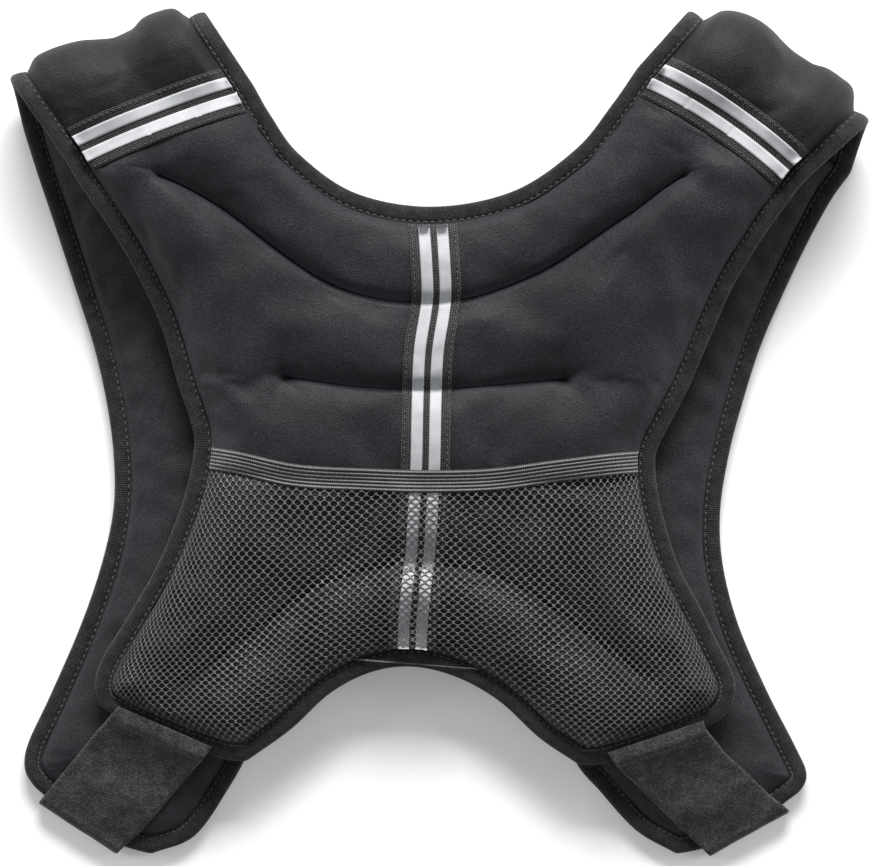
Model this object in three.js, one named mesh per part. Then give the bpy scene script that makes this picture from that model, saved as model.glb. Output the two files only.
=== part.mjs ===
import * as THREE from 'three';

// Overall size of the vest laid flat, mm. Table columns x and y are shares of these two.
const VEST_WIDTH = 442;
const VEST_LENGTH = 433.5;

// Thicknesses of the parts, mm
const LIP_EDGE_HALF = 0.8;
const LIP_HALF = 1.4;
const BINDING_WIDTH = 10;
const BINDING_WALL = 1.1;
const BINDING_HALF = 2.9;
const BINDING_NOSE_HALF = 2.1;
const GAP = 0.3;
const REST_GAP = 0.4;
const TURN_Z = 5;
const TURN_RADIUS = 3.3;
const TURN_IN = -1.2;
const STRAP_UNDER = 45;
const WEBBING_WIDTH = 25;
const WEBBING_THICK = 1.3;
const TAPE_THICK = 0.5;
const MESH_THICK = 1;
const HEM_THICK = 1.5;
const ELASTIC_THICK = 1.6;

// Fill heights above and below the lip, mm
const BACK_TOP_FILL = 12;
const BACK_UNDER_FILL = 4.5;
const BACK_FILL_REACH = 27;
const SEAM_REACH = 21;
const SEAM_FLOOR = 0.12;
const FRONT_LIP_Z = 5;
const DRAPE_PARTS = 6;
const PRESS_PARTS = 4;
const FRONT_TOP_FILL = 7.5;
const FRONT_REACH = 24;
const REST_RISE = 10;
const END_BOW = 5;
const PAD_UNDER_FILL = 4.5;
const PUFF_START = 10.8;

// Shoulder fold: upper height, lower height and bend radius, mm
const FOLD_TOP_Z = 42;
const FOLD_BOTTOM_Z = 8;
const FOLD_RADIUS = (FOLD_TOP_Z - FOLD_BOTTOM_Z) / 2;

// Lines across the back panel. Columns: across (-1 left to 1 right), x, y, height of the lip in mm
const NECK_LINE = [
  [-1, 0.284, 0.906, 42], [-0.75, 0.305, 0.869, 41], [-0.5, 0.337, 0.825, 38],
  [-0.25, 0.401, 0.780, 33], [0, 0.490, 0.764, 31], [0.25, 0.583, 0.782, 33],
  [0.5, 0.655, 0.831, 38], [0.75, 0.696, 0.882, 41], [1, 0.726, 0.926, 42],
];
const SEAM_A = [
  [-1, 0.066, 0.821, 42], [-0.75, 0.159, 0.805, 41], [-0.5, 0.238, 0.768, 37],
  [-0.25, 0.372, 0.673, 31], [0, 0.497, 0.651, 29], [0.25, 0.609, 0.684, 31],
  [0.5, 0.712, 0.751, 37], [0.75, 0.801, 0.807, 41], [1, 0.918, 0.793, 42],
];
const SEAM_B = [
  [-1, 0.195, 0.559, 25], [-0.75, 0.259, 0.562, 26], [-0.5, 0.326, 0.562, 26],
  [-0.25, 0.406, 0.552, 26], [0, 0.486, 0.549, 26], [0.25, 0.562, 0.554, 26],
  [0.5, 0.637, 0.560, 26], [0.75, 0.712, 0.562, 26], [1, 0.789, 0.559, 25],
];
const HEM_LINE = [
  [-1, 0.215, 0.496, 23.5], [-0.75, 0.279, 0.482, 24], [-0.5, 0.349, 0.466, 24],
  [-0.25, 0.418, 0.458, 24], [0, 0.485, 0.454, 24], [0.25, 0.557, 0.456, 24],
  [0.5, 0.620, 0.462, 24], [0.75, 0.684, 0.472, 24], [1, 0.749, 0.482, 23.5],
];
const SEAM_C = [
  [-1, 0.104, 0.181, 22.5], [-0.75, 0.187, 0.181, 23], [-0.5, 0.268, 0.242, 23],
  [-0.25, 0.366, 0.313, 23], [0, 0.477, 0.339, 23], [0.25, 0.582, 0.313, 23],
  [0.5, 0.674, 0.245, 23], [0.75, 0.755, 0.184, 23], [1, 0.836, 0.176, 22.5],
];
const ARCH_LINE = [
  [-1, 0.275, 0.111, 22.5], [-0.75, 0.326, 0.148, 22.5], [-0.5, 0.372, 0.191, 22.5],
  [-0.25, 0.420, 0.216, 22.5], [0, 0.469, 0.222, 22.5], [0.25, 0.520, 0.209, 22.5],
  [0.5, 0.568, 0.181, 22.5], [0.75, 0.614, 0.138, 22.5], [1, 0.659, 0.107, 22.5],
];
const BACK_LINES = [NECK_LINE, SEAM_A, SEAM_B, HEM_LINE, SEAM_C, ARCH_LINE];

// Side edges of the back panel. Columns: down (0 neck, 1 to 5 the lines above), x, y
const LEFT_EDGE = [
  [1, 0.066, 0.821], [1.1, 0.082, 0.793], [1.3, 0.118, 0.739], [1.55, 0.147, 0.689],
  [1.8, 0.176, 0.625], [2, 0.195, 0.559], [2.5, 0.208, 0.519], [3, 0.215, 0.488],
  [3.15, 0.211, 0.454], [3.3, 0.199, 0.409], [3.5, 0.172, 0.342], [3.7, 0.136, 0.278],
  [3.85, 0.110, 0.235], [3.95, 0.101, 0.211], [4.1, 0.102, 0.187], [4.25, 0.114, 0.171],
  [4.5, 0.172, 0.142], [4.8, 0.247, 0.114], [5, 0.275, 0.111],
];
const RIGHT_EDGE = [
  [1, 0.918, 0.793], [1.1, 0.902, 0.772], [1.3, 0.872, 0.729], [1.55, 0.839, 0.674],
  [1.8, 0.813, 0.615], [2, 0.790, 0.559], [2.5, 0.764, 0.507], [3, 0.748, 0.471],
  [3.15, 0.749, 0.442], [3.3, 0.755, 0.407], [3.5, 0.773, 0.346], [3.7, 0.803, 0.286],
  [3.85, 0.827, 0.236], [3.95, 0.838, 0.212], [4.1, 0.839, 0.186], [4.25, 0.824, 0.161],
  [4.5, 0.758, 0.131], [4.8, 0.686, 0.108], [5, 0.659, 0.107],
];

// Quilting seams. Columns: down at centre line, across where it starts and ends, depth share
const SEAMS = [
  { down: 1, reach: 0.7, depth: 1 },
  { down: 2, reach: 0.52, depth: 0.9 },
  { down: 3.12, reach: 0.6, depth: 0.45 },
  { down: 4, reach: 0.7, depth: 1 },
];

// Ribs of the front panels, shoulder to bottom. Columns: inner x, inner y, outer x, outer y
const FRONT_LEFT = [
  [0.234, 0.922, 0.016, 0.856], [0.242, 0.878, 0.031, 0.807], [0.259, 0.807, 0.051, 0.746],
  [0.276, 0.731, 0.074, 0.674], [0.290, 0.654, 0.097, 0.601], [0.300, 0.578, 0.112, 0.534],
  [0.311, 0.501, 0.120, 0.472], [0.319, 0.419, 0.120, 0.409], [0.322, 0.336, 0.106, 0.342],
  [0.319, 0.254, 0.081, 0.268], [0.305, 0.184, 0.046, 0.186], [0.279, 0.125, 0.021, 0.131],
  [0.254, 0.078, 0.017, 0.101], [0.214, 0.021, 0.027, 0.081], [0.164, 0, 0.040, 0.069],
];
const FRONT_RIGHT = [
  [0.773, 0.918, 0.975, 0.805], [0.759, 0.866, 0.953, 0.774], [0.741, 0.807, 0.928, 0.728],
  [0.722, 0.731, 0.900, 0.669], [0.697, 0.654, 0.871, 0.601], [0.678, 0.578, 0.850, 0.534],
  [0.661, 0.501, 0.834, 0.472], [0.647, 0.419, 0.824, 0.405], [0.636, 0.336, 0.827, 0.342],
  [0.632, 0.254, 0.845, 0.271], [0.635, 0.184, 0.878, 0.193], [0.654, 0.113, 0.911, 0.127],
  [0.686, 0.072, 0.924, 0.096], [0.727, 0.027, 0.918, 0.076], [0.773, 0, 0.897, 0.059],
];
const FRONT_ROWS = FRONT_LEFT.length - 1;

// Crest line of each shoulder fold. Columns: inner x, inner y, outer x, outer y
const CREST = {
  left: [0.230, 0.989, 0.003, 0.912],
  right: [0.783, 0.991, 0.993, 0.862],
};

// Fill of the shoulder pads across their width. Columns: share of width, left mm, right mm
const PAD_FILL = [
  [0.09, 0, 0], [0.14, 7, 9], [0.21, 8.4, 13], [0.30, 7.6, 14.6], [0.38, 4.2, 13.6],
  [0.46, 2.8, 11], [0.54, 4.4, 9.4], [0.62, 6.8, 9.6], [0.70, 7.8, 11.4], [0.78, 7.2, 11],
  [0.85, 5.6, 9.4], [0.91, 0, 0],
];

// Centre webbing down the back. Columns: y, x of its middle
const CENTRE_WEBBING = [
  [0.750, 0.4900], [0.698, 0.4935], [0.654, 0.4945], [0.594, 0.4860], [0.536, 0.4835],
  [0.460, 0.4820], [0.422, 0.4800], [0.360, 0.4765], [0.330, 0.4730], [0.278, 0.4680],
  [0.238, 0.4665],
];
const TAPE_OFFSET = 4.6;
const TAPE_WIDTH = 5.6;

// Shoulder webbings along the seam of each pad. Columns: share along the seam
const SHOULDER_WEBBING_FROM = 0.065;
const SHOULDER_WEBBING_TO = 0.93;

// Upper edge of the pocket band. Columns: across, y
const POCKET_TOP = [
  [-1, 0.484], [-0.8, 0.476], [-0.55, 0.461], [-0.25, 0.4560], [0, 0.4540],
  [0.25, 0.4560], [0.55, 0.466], [0.8, 0.474], [1, 0.478],
];
const BAND_HEIGHT = 11.5;

// Side straps. Columns: down, rear x, rear y, front x, front y, height of the lower face in mm
const STRAP_LEFT = [
  [0.127, 0.176, 0.236, 0.128, 0], [0.120, 0.167, 0.227, 0.116, 25.8],
  [0.110, 0.155, 0.217, 0.104, 21.5], [0.100, 0.144, 0.207, 0.092, 16.5],
  [0.081, 0.120, 0.185, 0.066, 0], [0.055, 0.088, 0.152, 0.027, 0],
  [0.044, 0.074, 0.136, 0.012, 0],
];
const STRAP_RIGHT = [
  [0.803, 0.159, 0.692, 0.121, 0], [0.807, 0.148, 0.699, 0.111, 25.8],
  [0.819, 0.133, 0.711, 0.097, 21.5], [0.831, 0.118, 0.725, 0.084, 16.5],
  [0.855, 0.096, 0.747, 0.062, 0], [0.880, 0.071, 0.778, 0.031, 0],
  [0.891, 0.062, 0.791, 0.018, 0],
];

const NEOPRENE = new THREE.MeshStandardMaterial({ color: 0x2b2c2f, roughness: 0.85 });
const BINDING = new THREE.MeshStandardMaterial({ color: 0x35353a, roughness: 0.9 });
const WEBBING = new THREE.MeshStandardMaterial({ color: 0x3c3d40, roughness: 0.9 });
const REFLECTIVE = new THREE.MeshStandardMaterial({ color: 0xb9bcc2, roughness: 0.45 });
const NET = new THREE.MeshStandardMaterial({ color: 0x3a3b3e, roughness: 0.7 });
const ELASTIC = new THREE.MeshStandardMaterial({ color: 0x444448, roughness: 0.85 });
const PLASTIC = new THREE.MeshStandardMaterial({ color: 0x1d1d1f, roughness: 0.5 });

const mmX = (share) => (share - 0.5) * VEST_WIDTH;
const mmY = (share) => (share - 0.5) * VEST_LENGTH;
const mix = (a, b, t) => a + (b - a) * t;
const steps = (count, from, to) => Array.from({ length: count + 1 }, (_, i) => mix(from, to, i / count));
const clamp = (value, low, high) => Math.min(high, Math.max(low, value));
const smooth = (t) => {
  const k = clamp(t, 0, 1);
  return k * k * (3 - 2 * k);
};

// Cubic curve through table rows whose first column is the key
function curve(table, key) {
  const last = table.length - 1;
  let i = 0;
  while (i < last - 1 && key > table[i + 1][0]) {
    i += 1;
  }
  const a = table[i];
  const b = table[i + 1];
  const span = b[0] - a[0];
  const t = clamp((key - a[0]) / span, 0, 1);
  const before = table[Math.max(i - 1, 0)];
  const after = table[Math.min(i + 2, last)];
  const values = [];
  for (let k = 1; k < a.length; k += 1) {
    const slopeA = (b[k] - before[k]) / (b[0] - before[0]);
    const slopeB = (after[k] - a[k]) / (after[0] - a[0]);
    const t2 = t * t;
    const t3 = t2 * t;
    values.push((2 * t3 - 3 * t2 + 1) * a[k] + (t3 - 2 * t2 + t) * span * slopeA
      + (3 * t2 - 2 * t3) * b[k] + (t3 - t2) * span * slopeB);
  }
  return values;
}

// Quarter ellipse rise from 0 at distance 0 to 1 at the reach
function swell(distance, reach) {
  const k = clamp(distance / reach, 0, 1);
  return Math.sqrt(1 - (1 - k) * (1 - k));
}

// Nearest place in plan on a chain of points: its distance and its height
function nearest(x, y, chain) {
  const best = { distance: Infinity, z: 0 };
  for (let i = 0; i < chain.length - 1; i += 1) {
    const [ax, ay, az] = chain[i];
    const [bx, by, bz] = chain[i + 1];
    const dx = bx - ax;
    const dy = by - ay;
    const t = clamp(((x - ax) * dx + (y - ay) * dy) / (dx * dx + dy * dy || 1), 0, 1);
    const distance = Math.hypot(x - ax - dx * t, y - ay - dy * t);
    if (distance < best.distance) {
      best.distance = distance;
      best.z = mix(az, bz, t);
    }
  }
  return best;
}
const chainDistance = (x, y, chain) => nearest(x, y, chain).distance;
const apart = (p, chain) => nearest(p[0], p[1], chain).distance;

// Side edge of the back panel at a place down the panel
function backEdge(side, down) {
  const table = side < 0 ? LEFT_EDGE : RIGHT_EDGE;
  if (down >= 1) {
    return curve(table, down);
  }
  const top = NECK_LINE[side < 0 ? 0 : NECK_LINE.length - 1];
  return [mix(top[1], table[0][1], down), mix(top[2], table[0][2], down)];
}

// Lip of the back panel at a place across and down, mm
function backPoint(across, down) {
  const i = Math.min(Math.floor(down), BACK_LINES.length - 2);
  const t = down - i;
  const along = (u) => {
    const a = curve(BACK_LINES[i], u);
    const b = curve(BACK_LINES[i + 1], u);
    return [mix(a[0], b[0], t), mix(a[1], b[1], t), mix(a[2], b[2], smooth(t))];
  };
  const p = along(across);
  for (const side of [-1, 1]) {
    const share = Math.pow((1 + side * across) / 2, 3);
    const edge = backEdge(side, down);
    const plain = along(side);
    p[0] += share * (edge[0] - plain[0]);
    p[1] += share * (edge[1] - plain[1]);
  }
  return [mmX(p[0]), mmY(p[1]), p[2]];
}

// Chains that bound the back panel, for distances
const NECK_CHAIN = steps(32, -1, 1).map((u) => backPoint(u, 0));
const ARCH_CHAIN = steps(32, -1, 1).map((u) => backPoint(u, 5));
const SIDE_CHAINS = [-1, 1].map((side) => steps(60, 1, 5).map((v) => backPoint(side, v)));
const SHOULDER_CHAINS = [-1, 1].map((side) => steps(2, 0, 1).map((v) => backPoint(side, v)));
const BOUND_CHAINS = [NECK_CHAIN, ARCH_CHAIN, ...SIDE_CHAINS];
const SEAM_CHAINS = SEAMS.map((seam) => steps(24, -seam.reach, seam.reach).map((u) => backPoint(u, seam.down)));

const boundDistance = (x, y) => Math.min(...BOUND_CHAINS.map((chain) => chainDistance(x, y, chain)));
const shoulderDistance = (x, y) => Math.min(...SHOULDER_CHAINS.map((chain) => chainDistance(x, y, chain)));

// Share of the fill left at a place of the back panel once edges and seams are drawn in
function backFill(x, y) {
  let fill = swell(boundDistance(x, y) - PUFF_START, BACK_FILL_REACH);
  fill *= swell(shoulderDistance(x, y) - 1.5, BACK_FILL_REACH * 0.8);
  SEAMS.forEach((seam, i) => {
    const rise = swell(chainDistance(x, y, SEAM_CHAINS[i]), SEAM_REACH);
    fill *= mix(1 - seam.depth * (1 - SEAM_FLOOR), 1, rise);
  });
  return fill;
}

// Height of a surface drawn level with its edge inside the binding
function levelled(x, y, z, chains) {
  const edge = chains.map((chain) => nearest(x, y, chain)).sort((a, b) => a.distance - b.distance)[0];
  return mix(edge.z, z, smooth((edge.distance - PUFF_START - 0.5) / 14));
}

// Half thickness of the flat lip inside the binding
const lipHalf = (distance) => mix(LIP_EDGE_HALF, LIP_HALF, clamp((distance - 1.4) / 9, 0, 1));

// Grid of points with every face inside the binding's reach brought back to the lip
function pressed(grid, chains, levels, sign) {
  const face = grid.map((row) => row.map((p) => [...p]));
  for (let pass = 0; pass < 8; pass += 1) {
    for (let r = 0; r < face.length - 1; r += 1) {
      for (let c = 0; c < face[0].length - 1; c += 1) {
        const corners = [face[r][c], face[r + 1][c], face[r][c + 1], face[r + 1][c + 1]];
        const close = corners.some(([x, y]) => chains.some((chain) => chainDistance(x, y, chain) < PUFF_START + 8));
        for (let i = 0; close && i <= PRESS_PARTS; i += 1) {
          for (let j = 0; j <= PRESS_PARTS; j += 1) {
            const s = i / PRESS_PARTS;
            const t = j / PRESS_PARTS;
            const w = s <= t ? [1 - t, 0, t - s, s] : [1 - s, s - t, 0, t];
            const [x, y, z] = [0, 1, 2].map((m) => corners.reduce((sum, p, k) => sum + w[k] * p[m], 0));
            const edge = levels.map((chain) => nearest(x, y, chain)).sort((a, b) => a.distance - b.distance)[0];
            const over = sign * (z - edge.z) - LIP_HALF;
            if (edge.distance < BINDING_WIDTH + 0.4 && over > 0.08) {
              const power = w.reduce((sum, value) => sum + value * value, 0);
              corners.forEach((p, k) => {
                p[2] -= sign * over * w[k] / power;
              });
            }
          }
        }
      }
    }
  }
  return face;
}

// Grid with the named corners drawn in, to sit inside the rounded binding
function rounded(grid, corners) {
  const last = [grid.length - 1, grid[0].length - 1];
  for (const [r, c] of corners) {
    const from = grid[r * last[0]][c * last[1]];
    const to = grid[r ? last[0] - 1 : 1][c ? last[1] - 1 : 1];
    [from[0], from[1]] = [mix(from[0], to[0], 0.14), mix(from[1], to[1], 0.14)];
  }
  return grid;
}

// Closed solid from two matching grids of points
function gridSolid(top, bottom) {
  const rows = top.length;
  const cols = top[0].length;
  const positions = [];
  const index = [];
  for (const grid of [top, bottom]) {
    grid.forEach((row) => row.forEach((p) => positions.push(...p)));
  }
  const at = (layer, r, c) => layer * rows * cols + r * cols + c;
  for (let r = 0; r < rows - 1; r += 1) {
    for (let c = 0; c < cols - 1; c += 1) {
      index.push(at(0, r, c), at(0, r + 1, c), at(0, r + 1, c + 1));
      index.push(at(0, r, c), at(0, r + 1, c + 1), at(0, r, c + 1));
      index.push(at(1, r, c), at(1, r + 1, c + 1), at(1, r + 1, c));
      index.push(at(1, r, c), at(1, r, c + 1), at(1, r + 1, c + 1));
    }
  }
  const wall = (r0, c0, r1, c1) => {
    index.push(at(0, r0, c0), at(0, r1, c1), at(1, r1, c1));
    index.push(at(0, r0, c0), at(1, r1, c1), at(1, r0, c0));
  };
  for (let c = 0; c < cols - 1; c += 1) {
    wall(0, c, 0, c + 1);
    wall(rows - 1, c + 1, rows - 1, c);
  }
  for (let r = 0; r < rows - 1; r += 1) {
    wall(r + 1, 0, r, 0);
    wall(r, cols - 1, r + 1, cols - 1);
  }
  return solid(positions, index);
}

// Closed solid from a row of matching rings, with the flat section used for its two ends
function ringSolid(rings, section) {
  const count = rings[0].length;
  const positions = rings.flatMap((ring) => ring.flatMap((p) => p));
  const index = [];
  for (let r = 0; r < rings.length - 1; r += 1) {
    for (let k = 0; k < count; k += 1) {
      const a = r * count + k;
      const b = r * count + ((k + 1) % count);
      index.push(a, b, b + count, a, b + count, a + count);
    }
  }
  const faces = THREE.ShapeUtils.triangulateShape(section.map((p) => new THREE.Vector2(p[0], p[1])), []);
  const end = (rings.length - 1) * count;
  for (const [a, b, c] of faces) {
    index.push(a, c, b, end + a, end + b, end + c);
  }
  return solid(positions, index);
}

// Geometry with its faces turned outward
function solid(positions, index) {
  let volume = 0;
  for (let i = 0; i < index.length; i += 3) {
    const [a, b, c] = [index[i] * 3, index[i + 1] * 3, index[i + 2] * 3];
    volume += positions[a] * (positions[b + 1] * positions[c + 2] - positions[b + 2] * positions[c + 1])
      + positions[a + 1] * (positions[b + 2] * positions[c] - positions[b] * positions[c + 2])
      + positions[a + 2] * (positions[b] * positions[c + 1] - positions[b + 1] * positions[c]);
  }
  if (volume < 0) {
    for (let i = 0; i < index.length; i += 3) {
      [index[i + 1], index[i + 2]] = [index[i + 2], index[i + 1]];
    }
  }
  const geometry = new THREE.BufferGeometry();
  geometry.setAttribute('position', new THREE.Float32BufferAttribute(positions, 3));
  geometry.setIndex(index);
  geometry.computeVertexNormals();
  return geometry;
}

const vest = new THREE.Group();
vest.name = 'weighted_vest';

function add(name, geometry, material) {
  const mesh = new THREE.Mesh(geometry, material);
  mesh.name = name;
  vest.add(mesh);
  return geometry;
}

// Highest face of some solids over a point in plan
function heightOver(geometries) {
  const cell = 12;
  const bins = new Map();
  for (const geometry of geometries) {
    const p = geometry.attributes.position.array;
    const index = geometry.index.array;
    for (let i = 0; i < index.length; i += 3) {
      const t = [0, 1, 2].map((k) => [0, 1, 2].map((m) => p[index[i + k] * 3 + m]));
      const low = [0, 1].map((m) => Math.floor(Math.min(t[0][m], t[1][m], t[2][m]) / cell));
      const high = [0, 1].map((m) => Math.floor(Math.max(t[0][m], t[1][m], t[2][m]) / cell));
      for (let bx = low[0]; bx <= high[0]; bx += 1) {
        for (let by = low[1]; by <= high[1]; by += 1) {
          const key = bx * 1000 + by;
          if (!bins.has(key)) {
            bins.set(key, []);
          }
          bins.get(key).push(t);
        }
      }
    }
  }
  return (x, y) => {
    let best = -Infinity;
    for (const [a, b, c] of bins.get(Math.floor(x / cell) * 1000 + Math.floor(y / cell)) || []) {
      const area = (b[0] - a[0]) * (c[1] - a[1]) - (b[1] - a[1]) * (c[0] - a[0]);
      if (Math.abs(area) > 1e-9) {
        const wb = ((x - a[0]) * (c[1] - a[1]) - (y - a[1]) * (c[0] - a[0])) / area;
        const wc = ((b[0] - a[0]) * (y - a[1]) - (b[1] - a[1]) * (x - a[0])) / area;
        if (wb >= -1e-6 && wc >= -1e-6 && wb + wc <= 1 + 1e-6) {
          best = Math.max(best, a[2] + wb * (b[2] - a[2]) + wc * (c[2] - a[2]));
        }
      }
    }
    return best;
  };
}

// Heights of a sheet laid over what is below: a grid of plan points lifted until every face clears it
function laidHeights(plan, below, gap) {
  const rows = plan.length;
  const cols = plan[0].length;
  const first = plan.map((row) => row.map(([x, y, low = -Infinity]) => Math.max(below(x, y) + gap, low)));
  const seen = first.flatMap((row, r) => row.map((z, c) => ({ r, c, z })).filter((place) => Number.isFinite(place.z)));
  const z = first.map((row, r) => row.map((value, c) => {
    if (Number.isFinite(value)) {
      return value;
    }
    const away = (place) => Math.hypot(place.r - r, place.c - c);
    return seen.reduce((best, place) => (away(place) < away(best) ? place : best)).z;
  }));
  for (let pass = 0; pass < 14; pass += 1) {
    const lift = z.map((row) => row.map(() => 0));
    for (let r = 0; r < rows - 1; r += 1) {
      for (let c = 0; c < cols - 1; c += 1) {
        const corners = [[r, c], [r + 1, c], [r, c + 1], [r + 1, c + 1]];
        for (let i = 0; i <= DRAPE_PARTS; i += 1) {
          for (let j = 0; j <= DRAPE_PARTS; j += 1) {
            const s = i / DRAPE_PARTS;
            const t = j / DRAPE_PARTS;
            const w = s <= t ? [1 - t, 0, t - s, s] : [1 - s, s - t, 0, t];
            const blend = (pick) => corners.reduce((sum, place, k) => sum + w[k] * pick(...place), 0);
            const x = blend((rr, cc) => plan[rr][cc][0]);
            const y = blend((rr, cc) => plan[rr][cc][1]);
            const short = below(x, y) + gap - blend((rr, cc) => z[rr][cc]);
            if (short > 0.01) {
              const power = w.reduce((sum, value) => sum + value * value, 0);
              corners.forEach(([rr, cc], k) => {
                lift[rr][cc] = Math.max(lift[rr][cc], short * w[k] / power);
              });
            }
          }
        }
      }
    }
    z.forEach((row, r) => row.forEach((_, c) => {
      row[c] += lift[r][c];
    }));
  }
  return z;
}
function laidSheet(plan, below, gap, thick) {
  const z = laidHeights(plan, below, gap);
  const bottom = plan.map((row, r) => row.map(([x, y], c) => [x, y, z[r][c]]));
  const top = plan.map((row, r) => row.map(([x, y], c) => [x, y, z[r][c] + thick]));
  return gridSolid(top, bottom);
}

// Place on the back panel at set distances from its edges
function solveBetween(measure, from, to, wanted) {
  let low = from;
  let high = to;
  for (let i = 0; i < 26; i += 1) {
    const middle = (low + high) / 2;
    if (measure(middle) < wanted) {
      low = middle;
    } else {
      high = middle;
    }
  }
  return (low + high) / 2;
}

// Back panel: rows at set distances from neck and arch, columns at set distances from the sides
const EDGE_STEPS = [1.4, PUFF_START, 13.5, 19, 28];
const SHOULDER_STEPS = [GAP / 2, 1.5, 3.5, 9, 20];
const INNER_SHARES = steps(8, 0.1, 0.9);
const DOWN_ROWS = [0.62, 0.8, 0.92, 1, 1.09, 1.25, 1.5, 1.75, 1.9, 2, 2.12, 2.4, 2.75, 3.0, 3.2, 3.4, 3.6, 3.78,
  3.9, 4, 4.08, 4.18, 4.28, 4.42];

function backGrid() {
  const nearRows = EDGE_STEPS.slice(0, 4);
  const rowSpecs = [
    ...nearRows.map((d) => ({ chain: NECK_CHAIN, d, from: 0, to: 0.6 })),
    ...DOWN_ROWS.map((v) => ({ v })),
    ...nearRows.slice().reverse().map((d) => ({ chain: ARCH_CHAIN, d, from: 5, to: 4.43 })),
  ];
  return rowSpecs.map((spec) => {
    const rowAt = (u) => {
      if (spec.v !== undefined) {
        return spec.v;
      }
      return solveBetween((v) => apart(backPoint(u, v), spec.chain), spec.from, spec.to, spec.d);
    };
    const onShoulder = rowAt(0) < 1;
    const columns = [-1, 1].map((side) => {
      const chain = (onShoulder ? SHOULDER_CHAINS : SIDE_CHAINS)[side < 0 ? 0 : 1];
      const wanted = onShoulder ? SHOULDER_STEPS : EDGE_STEPS;
      return wanted.map((d) => {
        let across = side * 0.95;
        for (let pass = 0; pass < 4; pass += 1) {
          const v = rowAt(across);
          across = solveBetween((u) => apart(backPoint(u, v), chain), side, 0, d);
        }
        return across;
      });
    });
    const left = columns[0];
    const right = columns[1].slice().reverse();
    const between = INNER_SHARES.map((share) => mix(left[left.length - 1], right[0], share));
    return [...left, ...between, ...right].map((u) => [u, rowAt(u)]);
  });
}
const backPlaces = backGrid();

// Point a set distance square to the side edge of the back panel, level with the edge
function besideEdge(side, i, distance) {
  const at = (k) => backPoint(side, clamp(backPlaces[k][side < 0 ? 0 : backPlaces[k].length - 1][1], 1, 5));
  const a = at(i - 1);
  const b = at(i + 1);
  const p = at(i);
  const length = Math.hypot(b[0] - a[0], b[1] - a[1]);
  return [p[0] + side * (b[1] - a[1]) / length * distance, p[1] - side * (b[0] - a[0]) / length * distance, p[2]];
}
const LAST_SQUARE_ROW = backPlaces.findIndex((row) => row[0][1] > 3.3);
const FIRST_SQUARE_ROW = backPlaces.findIndex((row) => row[0][1] > 1.05);
const backPlan = backPlaces.map((row, i) => row.map(([u, v], k) => {
  const fromEdge = Math.min(k, row.length - 1 - k);
  if (fromEdge < 2 && i >= FIRST_SQUARE_ROW && i <= LAST_SQUARE_ROW) {
    return besideEdge(k < 2 ? -1 : 1, i, EDGE_STEPS[fromEdge]);
  }
  return backPoint(u, v);
}));
rounded(backPlan, [[1, 0], [1, 1]]);
const LEVEL_CHAINS = [
  backPlaces[0].map(([u]) => backPoint(u, 0)), backPlaces[backPlaces.length - 1].map(([u]) => backPoint(u, 5)),
  ...[-1, 1].map((side) => [...DOWN_ROWS.filter((v) => v >= 1), 5].map((v) => backPoint(side, v))),
];
function backFace(sign, fill) {
  const face = backPlan.map((row, i) => row.map(([x, y, z], k) => {
    const square = Math.min(k, row.length - 1 - k) < 2 && i >= FIRST_SQUARE_ROW && i <= LAST_SQUARE_ROW;
    const base = square ? z : levelled(x, y, z, LEVEL_CHAINS);
    return [x, y, base + sign * (lipHalf(boundDistance(x, y)) + fill * backFill(x, y))];
  }));
  return pressed(face, BOUND_CHAINS, LEVEL_CHAINS, sign);
}
const back = add('back_panel', gridSolid(backFace(1, BACK_TOP_FILL), backFace(-1, BACK_UNDER_FILL)), NEOPRENE);

// Front panels: ribs from the inner edge (0) to the outer edge (1)
function frontRib(side, row) {
  const table = (side < 0 ? FRONT_LEFT : FRONT_RIGHT).map((entry, i) => [i, ...entry]);
  return curve(table, row);
}
function frontPoint(side, share, row) {
  const [ix, iy, ox, oy] = frontRib(side, row);
  const z = mix(FOLD_BOTTOM_Z, FRONT_LIP_Z, smooth(row / 2.5));
  // The lower end bows outward a little
  const [ax, ay, bx, by] = frontRib(side, FRONT_ROWS);
  const rib = [mmX(bx) - mmX(ax), mmY(by) - mmY(ay)];
  const bow = (END_BOW * 4 * share * (1 - share) * smooth((row - FRONT_ROWS + 2) / 2)) / Math.hypot(...rib);
  return [
    mix(mmX(ix), mmX(ox), share) - bow * Math.abs(rib[1]) * Math.sign(-side),
    mix(mmY(iy), mmY(oy), share) - bow * Math.abs(rib[0]),
    z,
  ];
}
const FRONT_STEPS = [1.9, PUFF_START, 14, 21];
const FRONT_DOWN = steps(9, 1.3, 10);
const FRONT_FAN = [0.35, 0.7];
const FRONT_CHAINS = [-1, 1].map((side) => [
  ...steps(48, 0, FRONT_ROWS).map((r) => frontPoint(side, 0, r)),
  ...steps(6, 0, 1).map((s) => frontPoint(side, s, FRONT_ROWS)),
  ...steps(48, FRONT_ROWS, 0).map((r) => frontPoint(side, 1, r)),
]);
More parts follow.
